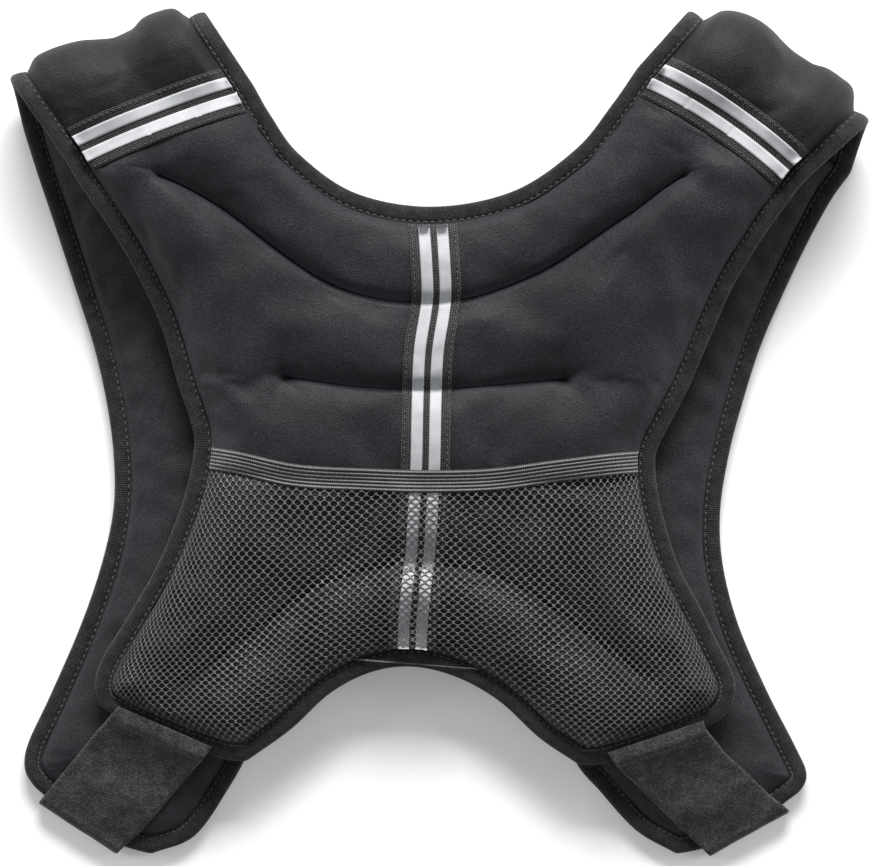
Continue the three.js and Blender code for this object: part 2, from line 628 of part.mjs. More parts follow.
function frontGrid(side) {
  const end = steps(6, 0, 1).map((s) => frontPoint(side, s, FRONT_ROWS));
  const start = steps(2, 0, 1).map((s) => frontPoint(side, s, 0));
  const inner = steps(60, 0, FRONT_ROWS).map((r) => frontPoint(side, 0, r));
  const outer = steps(60, 0, FRONT_ROWS).map((r) => frontPoint(side, 1, r));
  const rowSpecs = [
    ...[GAP / 2, 4, 12].map((d) => ({ chain: start, d, from: 0, to: 2 })),
    ...FRONT_DOWN.map((v) => ({ v })), ...FRONT_FAN.map((part) => ({ part })),
    ...FRONT_STEPS.slice().reverse().map((d) => ({ chain: end, d })),
  ];
  return rowSpecs.map((spec) => {
    const toEnd = (s, d) => solveBetween((r) => apart(frontPoint(side, s, r), end), FRONT_ROWS, FRONT_ROWS - 4, d);
    const rowAt = (s) => {
      if (spec.v !== undefined) {
        return spec.v;
      }
      if (spec.part !== undefined) {
        return mix(10, toEnd(s, FRONT_STEPS[3]), spec.part);
      }
      return spec.chain === end ? toEnd(s, spec.d)
        : solveBetween((r) => apart(frontPoint(side, s, r), spec.chain), spec.from, spec.to, spec.d);
    };
    const a = FRONT_STEPS.map((d) => solveBetween(
      (s) => apart(frontPoint(side, s, rowAt(0.05)), inner), 0, 0.5, d));
    const b = FRONT_STEPS.map((d) => solveBetween(
      (s) => apart(frontPoint(side, s, rowAt(0.95)), outer), 1, 0.5, d));
    return [...a, mix(a[3], b[3], 0.5), ...b.slice().reverse()].map((s) => [s, rowAt(s)]);
  });
}
const frontPlaces = [frontGrid(-1), frontGrid(1)];
function buildFront(side, name) {
  const chain = FRONT_CHAINS[side < 0 ? 0 : 1];
  const end = steps(6, 0, 1).map((s) => frontPoint(side, s, FRONT_ROWS));
  const start = steps(2, 0, 1).map((s) => frontPoint(side, s, 0));
  const plan = frontPlaces[side < 0 ? 0 : 1].map((row) => row.map(([s, r]) => frontPoint(side, s, r)));
  rounded(plan, [[1, 0], [1, 1]]);
  const places = frontPlaces[side < 0 ? 0 : 1];
  const lastRow = places[places.length - 1];
  const level = [
    ...places.map((row) => [0, row[0][1]]), ...lastRow.map(([s]) => [s, FRONT_ROWS]),
    ...places.slice().reverse().map((row) => [1, row[row.length - 1][1]]),
  ];
  const levelChain = level.map(([s, r]) => frontPoint(side, s, r));
  const top = plan.map((row) => row.map(([x, y, z]) => {
    const edge = chainDistance(x, y, chain);
    const fill = swell(edge - PUFF_START, FRONT_REACH) * swell(chainDistance(x, y, start) - 1, FRONT_REACH);
    return [x, y, levelled(x, y, z, [levelChain]) + lipHalf(edge) + FRONT_TOP_FILL * fill];
  }));
  const bottom = plan.map((row) => row.map(([x, y, z]) => {
    const edge = chainDistance(x, y, chain);
    const flat = smooth((edge - PUFF_START) / REST_RISE) * smooth((chainDistance(x, y, end) - STRAP_UNDER - 14) / 14);
    return [x, y, mix(levelled(x, y, z, [levelChain]) - lipHalf(edge), 0, flat)];
  }));
  const levels = [levelChain];
  return add(name, gridSolid(pressed(top, [chain], levels, 1), pressed(bottom, [chain], levels, -1)), NEOPRENE);
}
const fronts = [buildFront(-1, 'front_panel_left'), buildFront(1, 'front_panel_right')];

// Shoulder pads: share from the neck side (0) to the arm side (1), along from back seam (0) to front seam (1)
function padPath(side, share) {
  const b = backPoint(side, share);
  const rib = frontRib(side, 0);
  const f = [mix(mmX(rib[0]), mmX(rib[2]), share), mix(mmY(rib[1]), mmY(rib[3]), share)];
  const crest = side < 0 ? CREST.left : CREST.right;
  const c = [mix(mmX(crest[0]), mmX(crest[2]), share), mix(mmY(crest[1]), mmY(crest[3]), share)];
  const upper = Math.hypot(c[0] - b[0], c[1] - b[1]);
  const lower = Math.hypot(c[0] - f[0], c[1] - f[1]);
  const lengths = [upper - FOLD_RADIUS, FOLD_RADIUS * Math.PI / 2, FOLD_RADIUS * Math.PI / 2, lower - FOLD_RADIUS];
  return { b, f, c, upper, lower, lengths, total: lengths.reduce((sum, value) => sum + value, 0) };
}
function padPoint(side, share, along) {
  const path = padPath(side, share);
  const middle = (FOLD_TOP_Z + FOLD_BOTTOM_Z) / 2;
  let left = along * path.total;
  const [l0, l1, l2] = path.lengths;
  let from = path.b;
  let out = 0;
  let reach = path.upper;
  let z = FOLD_TOP_Z;
  if (left <= l0) {
    out = left;
  } else if (left <= l0 + l1) {
    const angle = (left - l0) / FOLD_RADIUS;
    out = path.upper - FOLD_RADIUS + FOLD_RADIUS * Math.sin(angle);
    z = middle + FOLD_RADIUS * Math.cos(angle);
  } else {
    from = path.f;
    reach = path.lower;
    left -= l0 + l1;
    if (left <= l2) {
      const angle = Math.PI / 2 + left / FOLD_RADIUS;
      out = path.lower - FOLD_RADIUS + FOLD_RADIUS * Math.sin(angle);
      z = middle + FOLD_RADIUS * Math.cos(angle);
    } else {
      out = path.lower - FOLD_RADIUS - (left - l2);
      z = FOLD_BOTTOM_Z;
    }
  }
  const t = out / reach;
  return [mix(from[0], path.c[0], t), mix(from[1], path.c[1], t), z];
}
function padNormal(side, share, along) {
  const h = 0.01;
  const a = new THREE.Vector3(...padPoint(side, clamp(share + h, 0, 1), along));
  a.sub(new THREE.Vector3(...padPoint(side, clamp(share - h, 0, 1), along)));
  const b = new THREE.Vector3(...padPoint(side, share, clamp(along + h, 0, 1)));
  b.sub(new THREE.Vector3(...padPoint(side, share, clamp(along - h, 0, 1))));
  return a.cross(b).normalize().multiplyScalar(side);
}
function squareWidth(side, share, along) {
  const h = 0.02;
  const rib = new THREE.Vector3(...padPoint(side, 1, along)).sub(new THREE.Vector3(...padPoint(side, 0, along)));
  const way = new THREE.Vector3(...padPoint(side, share, clamp(along + h, 0, 1)));
  way.sub(new THREE.Vector3(...padPoint(side, share, clamp(along - h, 0, 1)))).normalize();
  return rib.addScaledVector(way, -rib.dot(way)).length();
}
const PAD_ALONG = [0, 0.02, 0.08, 0.18, 0.29, 0.38, 0.46, 0.54, 0.62, 0.7, 0.8, 0.9, 0.975, 1];
const PAD_ACROSS = [0.18, 0.26, 0.35, 0.44, 0.54, 0.64, 0.74, 0.83];
function buildPad(side, name) {
  const column = side < 0 ? 0 : 1;
  const top = [];
  const bottom = [];
  for (const along of PAD_ALONG) {
    const total = padPath(side, 0.5).total;
    const inset = (GAP / 2) / total;
    const t = clamp(along, inset, 1 - inset);
    const widths = [0, 1].map((share) => squareWidth(side, share, t));
    const edge = (k) => [1.7, PUFF_START, 13.2].map((d) => d / widths[k]);
    const shares = [...edge(0), ...PAD_ACROSS, ...edge(1).reverse().map((e) => 1 - e)];
    const ends = swell(Math.min(t, 1 - t) * total - 1, 24);
    const topRow = [];
    const bottomRow = [];
    for (const share of shares) {
      const p = new THREE.Vector3(...padPoint(side, share, t));
      const n = padNormal(side, share, t);
      const distance = Math.min(share * widths[0], (1 - share) * widths[1]);
      const filled = distance > PUFF_START + 0.1 ? 1 : 0;
      const rise = Math.max(0, curve(PAD_FILL, share)[column]) * ends * filled;
      const drop = PAD_UNDER_FILL * swell(distance - PUFF_START, 16) * ends;
      const outside = p.clone().addScaledVector(n, lipHalf(distance) + rise);
      outside.z = Math.max(outside.z, 0);
      topRow.push(outside.toArray());
      bottomRow.push(p.clone().addScaledVector(n, -lipHalf(distance) - drop).toArray());
    }
    top.push(topRow);
    bottom.push(bottomRow);
  }
  return add(name, gridSolid(top, bottom), NEOPRENE);
}
const pads = [buildPad(-1, 'shoulder_pad_left'), buildPad(1, 'shoulder_pad_right')];

// Folded edge binding swept along a path of edge points and points inward of them
const BINDING_SECTION = [
  [1, 1.8], [1, BINDING_HALF], [0, BINDING_NOSE_HALF], [0, -BINDING_NOSE_HALF],
  [1, -BINDING_HALF], [1, -1.8], [BINDING_WALL / BINDING_WIDTH, -1.1], [BINDING_WALL / BINDING_WIDTH, 1.1],
];
const bindings = [];
function buildBinding(name, path) {
  const points = path.map((entry) => new THREE.Vector3(...entry[0]));
  const inward = path.map((entry) => new THREE.Vector3(...entry[1]));
  const tangents = points.map((p, i) => {
    const a = points[Math.max(i - 1, 0)];
    const b = points[Math.min(i + 1, points.length - 1)];
    return b.clone().sub(a).normalize();
  });
  const sides = points.map((p, i) => {
    const n = inward[i].clone().sub(p).normalize();
    const way = path[i][2] === 'flat' ? tangents[i].clone().setZ(0).normalize() : tangents[i];
    const square = n.clone().addScaledVector(way, -n.dot(way));
    return path[i][2] === 'flat' ? square.normalize() : n.multiplyScalar(1 / square.length());
  });
  const widths = points.map((p, i) => {
    if (i === 0 || i === points.length - 1) {
      return BINDING_WIDTH;
    }
    const a = points[i - 1];
    const b = points[i + 1];
    const turn = tangents[i + 1].clone().sub(tangents[i - 1]).dot(sides[i]);
    const length = p.distanceTo(a) + p.distanceTo(b);
    return turn > 0 ? clamp(0.78 * length / turn, 4.2, BINDING_WIDTH) : BINDING_WIDTH;
  });
  const eased = widths.map((w, i) => Math.min(w, ...[-1, 1].map((k) => (widths[i + k] ?? w) + 1.2)));
  const rings = points.map((p, i) => {
    const up = tangents[i].clone().cross(sides[i]).normalize();
    return BINDING_SECTION.map(([a, b]) => {
      return p.clone().addScaledVector(sides[i], a * eased[i]).addScaledVector(up, b).toArray();
    });
  });
  bindings.push(add(name, ringSolid(rings, BINDING_SECTION), BINDING));
}

const level = (p, q) => [p, [q[0], q[1], p[2]], 'flat'];
const backSide = (side, from, to) => backPlaces.map((row) => row[side < 0 ? 0 : row.length - 1][1])
  .filter((v) => v >= from && v <= to).map((v) => level(backPoint(side, v), backPoint(side * 0.96, v)));
const backRow = (row, v, inner) => row.map(([u]) => level(backPoint(u, v), backPoint(u * 0.98, inner)));
const padSide = (side, share) => PAD_ALONG.filter((t) => t > 0.05 && t < 0.99)
  .map((t) => [padPoint(side, share, t), padPoint(side, mix(share, 0.5, 0.2), t)]);
const frontSide = (side, share, from, to) => frontPlaces[side < 0 ? 0 : 1]
  .map((row) => row[share < 0.5 ? 0 : row.length - 1][1]).filter((r) => r >= from && r <= to)
  .map((r) => level(frontPoint(side, share, r),
    frontPoint(side, mix(share, 0.5, 0.1), share > 0.5 ? Math.min(r, FRONT_ROWS - 2) : r)));
const frontEnd = (side) => frontPlaces[side < 0 ? 0 : 1].slice(-1)[0].slice().reverse()
  .map(([s]) => level(frontPoint(side, s, FRONT_ROWS), frontPoint(side, mix(s, 0.5, 0.3), FRONT_ROWS - 2)));
const cut = (side, share, r) => level(frontPoint(side, share, r), frontPoint(side, mix(share, 0.5, 0.1), r));

buildBinding('binding_neck', [
  cut(-1, 0, 10.95), cut(-1, 0, 10.85), ...frontSide(-1, 0, 0.12, 10.7).reverse(), ...padSide(-1, 0).reverse(),
  ...backRow(backPlaces[0], 0, 0.2), ...padSide(1, 0), ...frontSide(1, 0, 0.12, 10.7), cut(1, 0, 10.85), cut(1, 0, 10.95),
]);
for (const [side, label] of [[-1, 'left'], [1, 'right']]) {
  buildBinding(`binding_armhole_${label}`, [
    ...backSide(side, 1.01, 4.43).reverse(), ...padSide(side, 1), ...frontSide(side, 1, 0.12, 14),
    ...frontEnd(side), ...frontSide(side, 0, 11.3, 14).reverse(), cut(side, 0, 11.12), cut(side, 0, 11.02),
  ]);
}
buildBinding('binding_arch', [
  level(backPoint(-1, 4.44), backPoint(-0.96, 4.44)), ...backSide(-1, 4.5, 4.96),
  ...backRow(backPlaces[backPlaces.length - 1], 5, 4.8), ...backSide(1, 4.5, 4.96).reverse(),
  level(backPoint(1, 4.44), backPoint(0.96, 4.44)),
]);

// Strip along a line, its two ends cut where it meets the bindings
function strip(line, width, offset, columns, rows, startChain, endChain) {
  const sideways = (t) => {
    const a = line(clamp(t - 0.01, 0, 1));
    const b = line(clamp(t + 0.01, 0, 1));
    const length = Math.hypot(b[0] - a[0], b[1] - a[1]);
    return [-(b[1] - a[1]) / length, (b[0] - a[0]) / length];
  };
  const point = (t, d) => {
    const p = line(t);
    const n = sideways(t);
    return [p[0] + n[0] * d, p[1] + n[1] * d];
  };
  const columnList = steps(columns, offset - width / 2, offset + width / 2).map((d) => {
    const from = solveBetween((t) => apart(point(t, d), startChain), 0, 0.4, BINDING_WIDTH + 0.5);
    const to = solveBetween((t) => apart(point(t, d), endChain), 1, 0.6, BINDING_WIDTH + 0.5);
    return steps(rows, from, to).map((t) => point(t, d));
  });
  return steps(rows, 0, 1).map((_, r) => columnList.map((column) => column[r]));
}

// Webbing down the centre of the back with its two tapes
const overBack = heightOver([back]);
const centreTable = CENTRE_WEBBING.map(([y, x]) => [-y, x]);
function centreLine(t) {
  const y = mix(0.775, 0.205, t);
  return [mmX(curve(centreTable, clamp(-y, centreTable[0][0], centreTable[centreTable.length - 1][0]))[0]), mmY(y)];
}
const centreStrip = (width, offset, columns) => strip(centreLine, width, offset, columns, 24, NECK_CHAIN, ARCH_CHAIN);
const webbing = add('back_webbing', laidSheet(centreStrip(WEBBING_WIDTH, 0, 2), overBack, REST_GAP, WEBBING_THICK), WEBBING);
const overWebbing = heightOver([webbing]);
const tapes = [-1, 1].map((side) => add(side < 0 ? 'back_tape_left' : 'back_tape_right',
  laidSheet(centreStrip(TAPE_WIDTH, -side * TAPE_OFFSET, 1), overWebbing, GAP, TAPE_THICK), REFLECTIVE));

// Shoulder webbings over the seams between pads and back
const overShoulder = heightOver([back, ...pads]);
for (const [side, label] of [[-1, 'left'], [1, 'right']]) {
  const inner = [...steps(8, 0.5, 0).map((t) => padPoint(side, 0, t)), ...steps(16, side, 0).map((u) => backPoint(u, 0))];
  const outer = [...steps(8, 0.5, 0).map((t) => padPoint(side, 1, t)), ...steps(24, 1, 2).map((v) => backPoint(side, v))];
  const line = (t) => backPoint(side, t);
  const shoulderStrip = (width, offset, columns) => strip(line, width, offset, columns, 12, inner, outer);
  const sheet = add(`shoulder_webbing_${label}`,
    laidSheet(shoulderStrip(WEBBING_WIDTH, 0, 3), overShoulder, REST_GAP, WEBBING_THICK), WEBBING);
  const overSheet = heightOver([sheet]);
  for (const [k, place] of [[-1, 'lower'], [1, 'upper']]) {
    add(`shoulder_tape_${place}_${label}`,
      laidSheet(shoulderStrip(TAPE_WIDTH, k * TAPE_OFFSET * side, 1), overSheet, GAP, TAPE_THICK), REFLECTIVE);
  }
}

// Mesh pocket over the lower back with its ribbed band
const pocketTopY = (u) => curve(POCKET_TOP, u)[0];
const downAtY = (u, y) => solveBetween((v) => -backPoint(u, v)[1], 2.4, 4.2, -y);
const POCKET_ACROSS = [-1, -0.85, -0.7, -0.55, -0.4, -0.25, -0.14, -0.05, 0.03, 0.12, 0.25, 0.4, 0.55, 0.7, 0.85, 1];
function pocketPlan(rowsAt) {
  return rowsAt.map((rowAt) => {
    const ends = [-1, 1].map((side) => {
      let across = side * 0.95;
      for (let pass = 0; pass < 5; pass += 1) {
        const v = rowAt(across);
        across = solveBetween(
          (u) => apart(backPoint(u, v), SIDE_CHAINS[side < 0 ? 0 : 1]), side, 0, BINDING_WIDTH + 0.6);
      }
      return across;
    });
    return POCKET_ACROSS.map((w) => {
      const across = mix(ends[0], ends[1], (w + 1) / 2);
      return backPoint(across, rowAt(across)).slice(0, 2);
    });
  });
}
const bandTop = (u) => downAtY(u, mmY(pocketTopY(u)));
const bandBottom = (u) => downAtY(u, mmY(pocketTopY(u)) - BAND_HEIGHT);
const archRow = (u) => solveBetween(
  (v) => apart(backPoint(clamp(u, -0.97, 0.97), v), ARCH_CHAIN), 5, 4.2, BINDING_WIDTH + 0.6);
const pocketRows = [0.01, 0.12, 0.24, 0.36, 0.48, 0.6, 0.7, 0.79, 0.88, 1].map((t) => (u) => mix(bandBottom(u), archRow(u), t));
const overAll = heightOver([back, webbing, ...tapes]);
const band = add('pocket_band', laidSheet(pocketPlan([bandTop, bandBottom]), overAll, REST_GAP, HEM_THICK), ELASTIC);
add('mesh_pocket', laidSheet(pocketPlan(pocketRows), overAll, REST_GAP, MESH_THICK), NET);

// Point where a line from inside a chain crosses it
function crossing(a, b, chain) {
  for (let i = 0; i < chain.length - 1; i += 1) {
    const [px, py] = chain[i];
    const [qx, qy] = chain[i + 1];
    const rx = b[0] - a[0];
    const ry = b[1] - a[1];
    const sx = qx - px;
    const sy = qy - py;
    const det = rx * sy - ry * sx;
    const t = ((px - a[0]) * sy - (py - a[1]) * sx) / det;
    const u = ((px - a[0]) * ry - (py - a[1]) * rx) / det;
    if (t > 0 && u >= 0 && u <= 1) {
      return [a[0] + rx * t, a[1] + ry * t];
    }
  }
  return b;
}

// Side straps: over the back's lower edge, down the front panel, round its edge and under it
const overLower = heightOver([back, ...fronts, ...bindings]);
for (const [side, label] of [[-1, 'left'], [1, 'right']]) {
  const table = side < 0 ? STRAP_LEFT : STRAP_RIGHT;
  const shares = steps(4, 0, 1);
  const at = (row, share) => [mix(mmX(row[0]), mmX(row[2]), share), mix(mmY(row[1]), mmY(row[3]), share), row[4]];
  const before = table[table.length - 2];
  const last = table[table.length - 1];
  const turns = shares.map((share) => {
    const a = at(before, share);
    const b = at(last, share);
    const edge = crossing(a, [a[0] + (b[0] - a[0]) * 4, a[1] + (b[1] - a[1]) * 4], FRONT_CHAINS[side < 0 ? 0 : 1]);
    const length = Math.hypot(b[0] - a[0], b[1] - a[1]);
    return { edge, way: [(b[0] - a[0]) / length, (b[1] - a[1]) / length] };
  });
  const place = (k, out, z) => [turns[k].edge[0] + turns[k].way[0] * out, turns[k].edge[1] + turns[k].way[1] * out, z];
  const laid = [...table.slice(0, -1).map((row) => shares.map((share) => at(row, share))),
    ...[-16, -9].map((out) => shares.map((_, k) => place(k, out, TURN_Z + TURN_RADIUS)))];
  const heights = laidHeights(laid, overLower, REST_GAP);
  const lower = laid.map((row, r) => row.map(([x, y], c) => [x, y, heights[r][c]]));
  const upper = laid.map((row, r) => row.map(([x, y], c) => [x, y, heights[r][c] + ELASTIC_THICK]));
  for (const angle of steps(5, Math.PI / 2, -Math.PI / 2)) {
    for (const [list, radius] of [[lower, TURN_RADIUS], [upper, TURN_RADIUS + ELASTIC_THICK]]) {
      list.push(shares.map((_, k) => place(k, TURN_IN + Math.cos(angle) * radius, TURN_Z + Math.sin(angle) * radius)));
    }
  }
  for (const out of [-STRAP_UNDER / 2, -STRAP_UNDER]) {
    lower.push(shares.map((_, k) => place(k, out, TURN_Z - TURN_RADIUS)));
    upper.push(shares.map((_, k) => place(k, out, TURN_Z - TURN_RADIUS - ELASTIC_THICK)));
  }
  add(`side_strap_${label}`, gridSolid(upper, lower), ELASTIC);
}

// Plain closure between the front panels, hidden under the back
const CLOSURE_Y = 0.29;
const CLOSURE_LAP = 13;
const BUCKLE = { length: 44, width: 32, height: 9, chamfer: 2 };
const closureEnds = [-1, 1].map((side) => {
  const inner = steps(60, 2, 12).map((r) => frontPoint(side, 0, r));
  return inner.reduce((best, p) => (Math.abs(p[1] - mmY(CLOSURE_Y)) < Math.abs(best[1] - mmY(CLOSURE_Y)) ? p : best))[0];
});
const buckleX = (closureEnds[0] + closureEnds[1]) / 2;
for (const [side, label] of [[-1, 'left'], [1, 'right']]) {
  const from = closureEnds[side < 0 ? 0 : 1] + side * CLOSURE_LAP;
  const to = buckleX + side * (BUCKLE.length / 2 + GAP);
  const geometry = new THREE.BoxGeometry(Math.abs(from - to), WEBBING_WIDTH, WEBBING_THICK);
  geometry.translate((from + to) / 2, mmY(CLOSURE_Y), WEBBING_THICK / 2 + 0.2);
  add(`front_webbing_${label}`, geometry, WEBBING);
}
const buckleShape = new THREE.Shape();
const [bl, bw, bc] = [BUCKLE.length / 2, BUCKLE.width / 2, BUCKLE.chamfer * 2];
buckleShape.setFromPoints([[-bl + bc, -bw], [bl - bc, -bw], [bl, -bw + bc], [bl, bw - bc], [bl - bc, bw],
  [-bl + bc, bw], [-bl, bw - bc], [-bl, -bw + bc]].map((p) => new THREE.Vector2(...p)));
const buckle = new THREE.ExtrudeGeometry(buckleShape, { depth: BUCKLE.height, bevelEnabled: false });
buckle.translate(buckleX, mmY(CLOSURE_Y), 0);
add('front_buckle', buckle, PLASTIC);

// The vest rests on z = 0, centred in plan
const box = new THREE.Box3().setFromObject(vest);
const middle = box.getCenter(new THREE.Vector3());
vest.position.set(-middle.x, -middle.y, -box.min.z);

export default vest;
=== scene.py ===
import math
import bmesh
import bpy
import numpy as np
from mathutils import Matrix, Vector
from mathutils.bvhtree import BVHTree


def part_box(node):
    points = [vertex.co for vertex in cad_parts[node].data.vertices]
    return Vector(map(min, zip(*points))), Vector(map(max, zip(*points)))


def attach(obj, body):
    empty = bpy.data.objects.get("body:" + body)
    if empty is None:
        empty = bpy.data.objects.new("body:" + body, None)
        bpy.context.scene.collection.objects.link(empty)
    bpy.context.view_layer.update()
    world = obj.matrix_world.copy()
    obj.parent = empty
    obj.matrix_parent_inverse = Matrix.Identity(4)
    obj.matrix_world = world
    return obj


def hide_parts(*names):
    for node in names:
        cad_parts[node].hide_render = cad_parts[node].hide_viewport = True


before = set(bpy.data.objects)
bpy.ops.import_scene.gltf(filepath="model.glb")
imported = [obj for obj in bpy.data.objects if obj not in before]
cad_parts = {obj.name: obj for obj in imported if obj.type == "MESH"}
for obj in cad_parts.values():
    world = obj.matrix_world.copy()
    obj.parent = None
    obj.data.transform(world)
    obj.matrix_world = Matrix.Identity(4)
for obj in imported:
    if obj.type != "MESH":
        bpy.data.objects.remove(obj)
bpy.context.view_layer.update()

# Everything below is worked out in millimetres and turned to metres as each mesh is made
MM = 0.001
VEST_WIDTH, VEST_LENGTH = 442.0, 433.5
# From the middle of the tables' shares to the frame's origin
SHIFT = np.array([0.683, 0.533, 0.0])
SIDES = ((-1, "left"), (1, "right"))

# Camera straight above, from far off, in metres
CAMERA_PLACE, CAMERA_RISE, VIEW_WIDTH, SENSOR = (0.00145, -0.00049, 4.527), 4.5, 0.4517, 36.0
cam_data = bpy.data.cameras.new("camera")
cam = bpy.data.objects.new("camera", cam_data)
bpy.context.scene.collection.objects.link(cam)
cam.location = CAMERA_PLACE
cam_data.sensor_fit = "HORIZONTAL"
cam_data.sensor_width = SENSOR
cam_data.lens = SENSOR * CAMERA_RISE / VIEW_WIDTH
cam_data.clip_start, cam_data.clip_end = 0.1, 50
bpy.context.scene.camera = cam

# Thicknesses, fill heights and reaches
LIP_EDGE_HALF, LIP_HALF, PUFF_START = 0.8, 1.4, 8.9
BINDING_WIDTH, REST_GAP = 10.0, 0.3
BACK_TOP_FILL, BACK_UNDER_FILL, BACK_FILL_REACH = 12.0, 4.5, 27.0
SEAM_REACH, SEAM_FLOOR = 29.0, 0.12
FRONT_LIP_Z, FRONT_TOP_FILL, FRONT_REACH, REST_RISE, STRAP_UNDER = 5.0, 7.5, 24.0, 10.0, 45.0
END_BOW = 5.0
PAD_UNDER_FILL, PAD_UNDER_REACH, PAD_END_REACH, PAD_SIDE_REACH = 4.5, 16.0, 24.0, 7.0
FOLD_TOP_Z, FOLD_BOTTOM_Z = 42.0, 8.0
FOLD_RADIUS = (FOLD_TOP_Z - FOLD_BOTTOM_Z) / 2

# Columns: across, x, y, height of the lip
NECK_LINE = [
    [-1, 0.284, 0.906, 42], [-0.75, 0.305, 0.869, 41], [-0.5, 0.337, 0.825, 38],
    [-0.25, 0.401, 0.780, 33], [0, 0.490, 0.764, 31], [0.25, 0.583, 0.782, 33],
    [0.5, 0.655, 0.831, 38], [0.75, 0.696, 0.882, 41], [1, 0.726, 0.926, 42]]
SEAM_A = [
    [-1, 0.066, 0.821, 42], [-0.75, 0.159, 0.805, 41], [-0.5, 0.238, 0.768, 37],
    [-0.25, 0.372, 0.673, 31], [0, 0.497, 0.651, 29], [0.25, 0.609, 0.684, 31],
    [0.5, 0.712, 0.751, 37], [0.75, 0.801, 0.807, 41], [1, 0.918, 0.793, 42]]
SEAM_B = [
    [-1, 0.195, 0.559, 25], [-0.75, 0.259, 0.562, 26], [-0.5, 0.326, 0.562, 26],
    [-0.25, 0.406, 0.552, 26], [0, 0.486, 0.549, 26], [0.25, 0.562, 0.554, 26],
    [0.5, 0.637, 0.560, 26], [0.75, 0.712, 0.562, 26], [1, 0.789, 0.559, 25]]
HEM_LINE = [
    [-1, 0.215, 0.496, 23.5], [-0.75, 0.279, 0.482, 24], [-0.5, 0.349, 0.466, 24],
    [-0.25, 0.418, 0.458, 24], [0, 0.485, 0.454, 24], [0.25, 0.557, 0.456, 24],
    [0.5, 0.620, 0.462, 24], [0.75, 0.684, 0.472, 24], [1, 0.749, 0.482, 23.5]]
SEAM_C = [
    [-1, 0.104, 0.181, 22.5], [-0.75, 0.187, 0.181, 23], [-0.5, 0.268, 0.242, 23],
    [-0.25, 0.366, 0.313, 23], [0, 0.477, 0.339, 23], [0.25, 0.582, 0.313, 23],
    [0.5, 0.674, 0.245, 23], [0.75, 0.755, 0.184, 23], [1, 0.836, 0.176, 22.5]]
ARCH_LINE = [
    [-1, 0.275, 0.111, 22.5], [-0.75, 0.326, 0.148, 22.5], [-0.5, 0.372, 0.191, 22.5],
    [-0.25, 0.420, 0.216, 22.5], [0, 0.469, 0.222, 22.5], [0.25, 0.520, 0.209, 22.5],
    [0.5, 0.568, 0.181, 22.5], [0.75, 0.614, 0.138, 22.5], [1, 0.659, 0.107, 22.5]]
BACK_LINES = [NECK_LINE, SEAM_A, SEAM_B, HEM_LINE, SEAM_C, ARCH_LINE]
# Columns: down, x, y
LEFT_EDGE = [
    [1, 0.066, 0.821], [1.1, 0.082, 0.793], [1.3, 0.118, 0.739], [1.55, 0.147, 0.689],
    [1.8, 0.176, 0.625], [2, 0.195, 0.559], [2.5, 0.208, 0.519], [3, 0.215, 0.488],
    [3.15, 0.211, 0.454], [3.3, 0.199, 0.409], [3.5, 0.172, 0.342], [3.7, 0.136, 0.278],
    [3.85, 0.110, 0.235], [3.95, 0.101, 0.211], [4.1, 0.102, 0.187], [4.25, 0.114, 0.171],
    [4.5, 0.172, 0.142], [4.8, 0.247, 0.114], [5, 0.275, 0.111]]
RIGHT_EDGE = [
    [1, 0.918, 0.793], [1.1, 0.902, 0.772], [1.3, 0.872, 0.729], [1.55, 0.839, 0.674],
    [1.8, 0.813, 0.615], [2, 0.790, 0.559], [2.5, 0.764, 0.507], [3, 0.748, 0.471],
    [3.15, 0.749, 0.442], [3.3, 0.755, 0.407], [3.5, 0.773, 0.346], [3.7, 0.803, 0.286],
    [3.85, 0.827, 0.236], [3.95, 0.838, 0.212], [4.1, 0.839, 0.186], [4.25, 0.824, 0.161],
    [4.5, 0.758, 0.131], [4.8, 0.686, 0.108], [5, 0.659, 0.107]]
# Columns: down, reach across, depth share
SEAMS = [(1, 0.7, 1), (2, 0.52, 0.9), (3.12, 0.9, 0.5), (4, 0.7, 1)]
# Columns: inner x, inner y, outer x, outer y
FRONT_LEFT = [
    [0.234, 0.922, 0.016, 0.856], [0.242, 0.878, 0.031, 0.807], [0.259, 0.807, 0.051, 0.746],
    [0.276, 0.731, 0.074, 0.674], [0.290, 0.654, 0.097, 0.601], [0.300, 0.578, 0.112, 0.534],
    [0.311, 0.501, 0.120, 0.472], [0.319, 0.419, 0.120, 0.409], [0.322, 0.336, 0.106, 0.342],
    [0.319, 0.254, 0.081, 0.268], [0.305, 0.184, 0.046, 0.186], [0.279, 0.125, 0.021, 0.131],
    [0.254, 0.078, 0.017, 0.101], [0.214, 0.021, 0.027, 0.081], [0.164, 0, 0.040, 0.069]]
FRONT_RIGHT = [
    [0.773, 0.918, 0.975, 0.805], [0.759, 0.866, 0.953, 0.774], [0.741, 0.807, 0.928, 0.728],
    [0.722, 0.731, 0.900, 0.669], [0.697, 0.654, 0.871, 0.601], [0.678, 0.578, 0.850, 0.534],
    [0.661, 0.501, 0.834, 0.472], [0.647, 0.419, 0.824, 0.405], [0.636, 0.336, 0.827, 0.342],
    [0.632, 0.254, 0.845, 0.271], [0.635, 0.184, 0.878, 0.193], [0.654, 0.113, 0.911, 0.127],
    [0.686, 0.072, 0.924, 0.096], [0.727, 0.027, 0.918, 0.076], [0.773, 0, 0.897, 0.059]]
FRONT_ROWS = len(FRONT_LEFT) - 1
CREST = {-1: [0.230, 0.989, 0.003, 0.912], 1: [0.783, 0.991, 0.993, 0.862]}
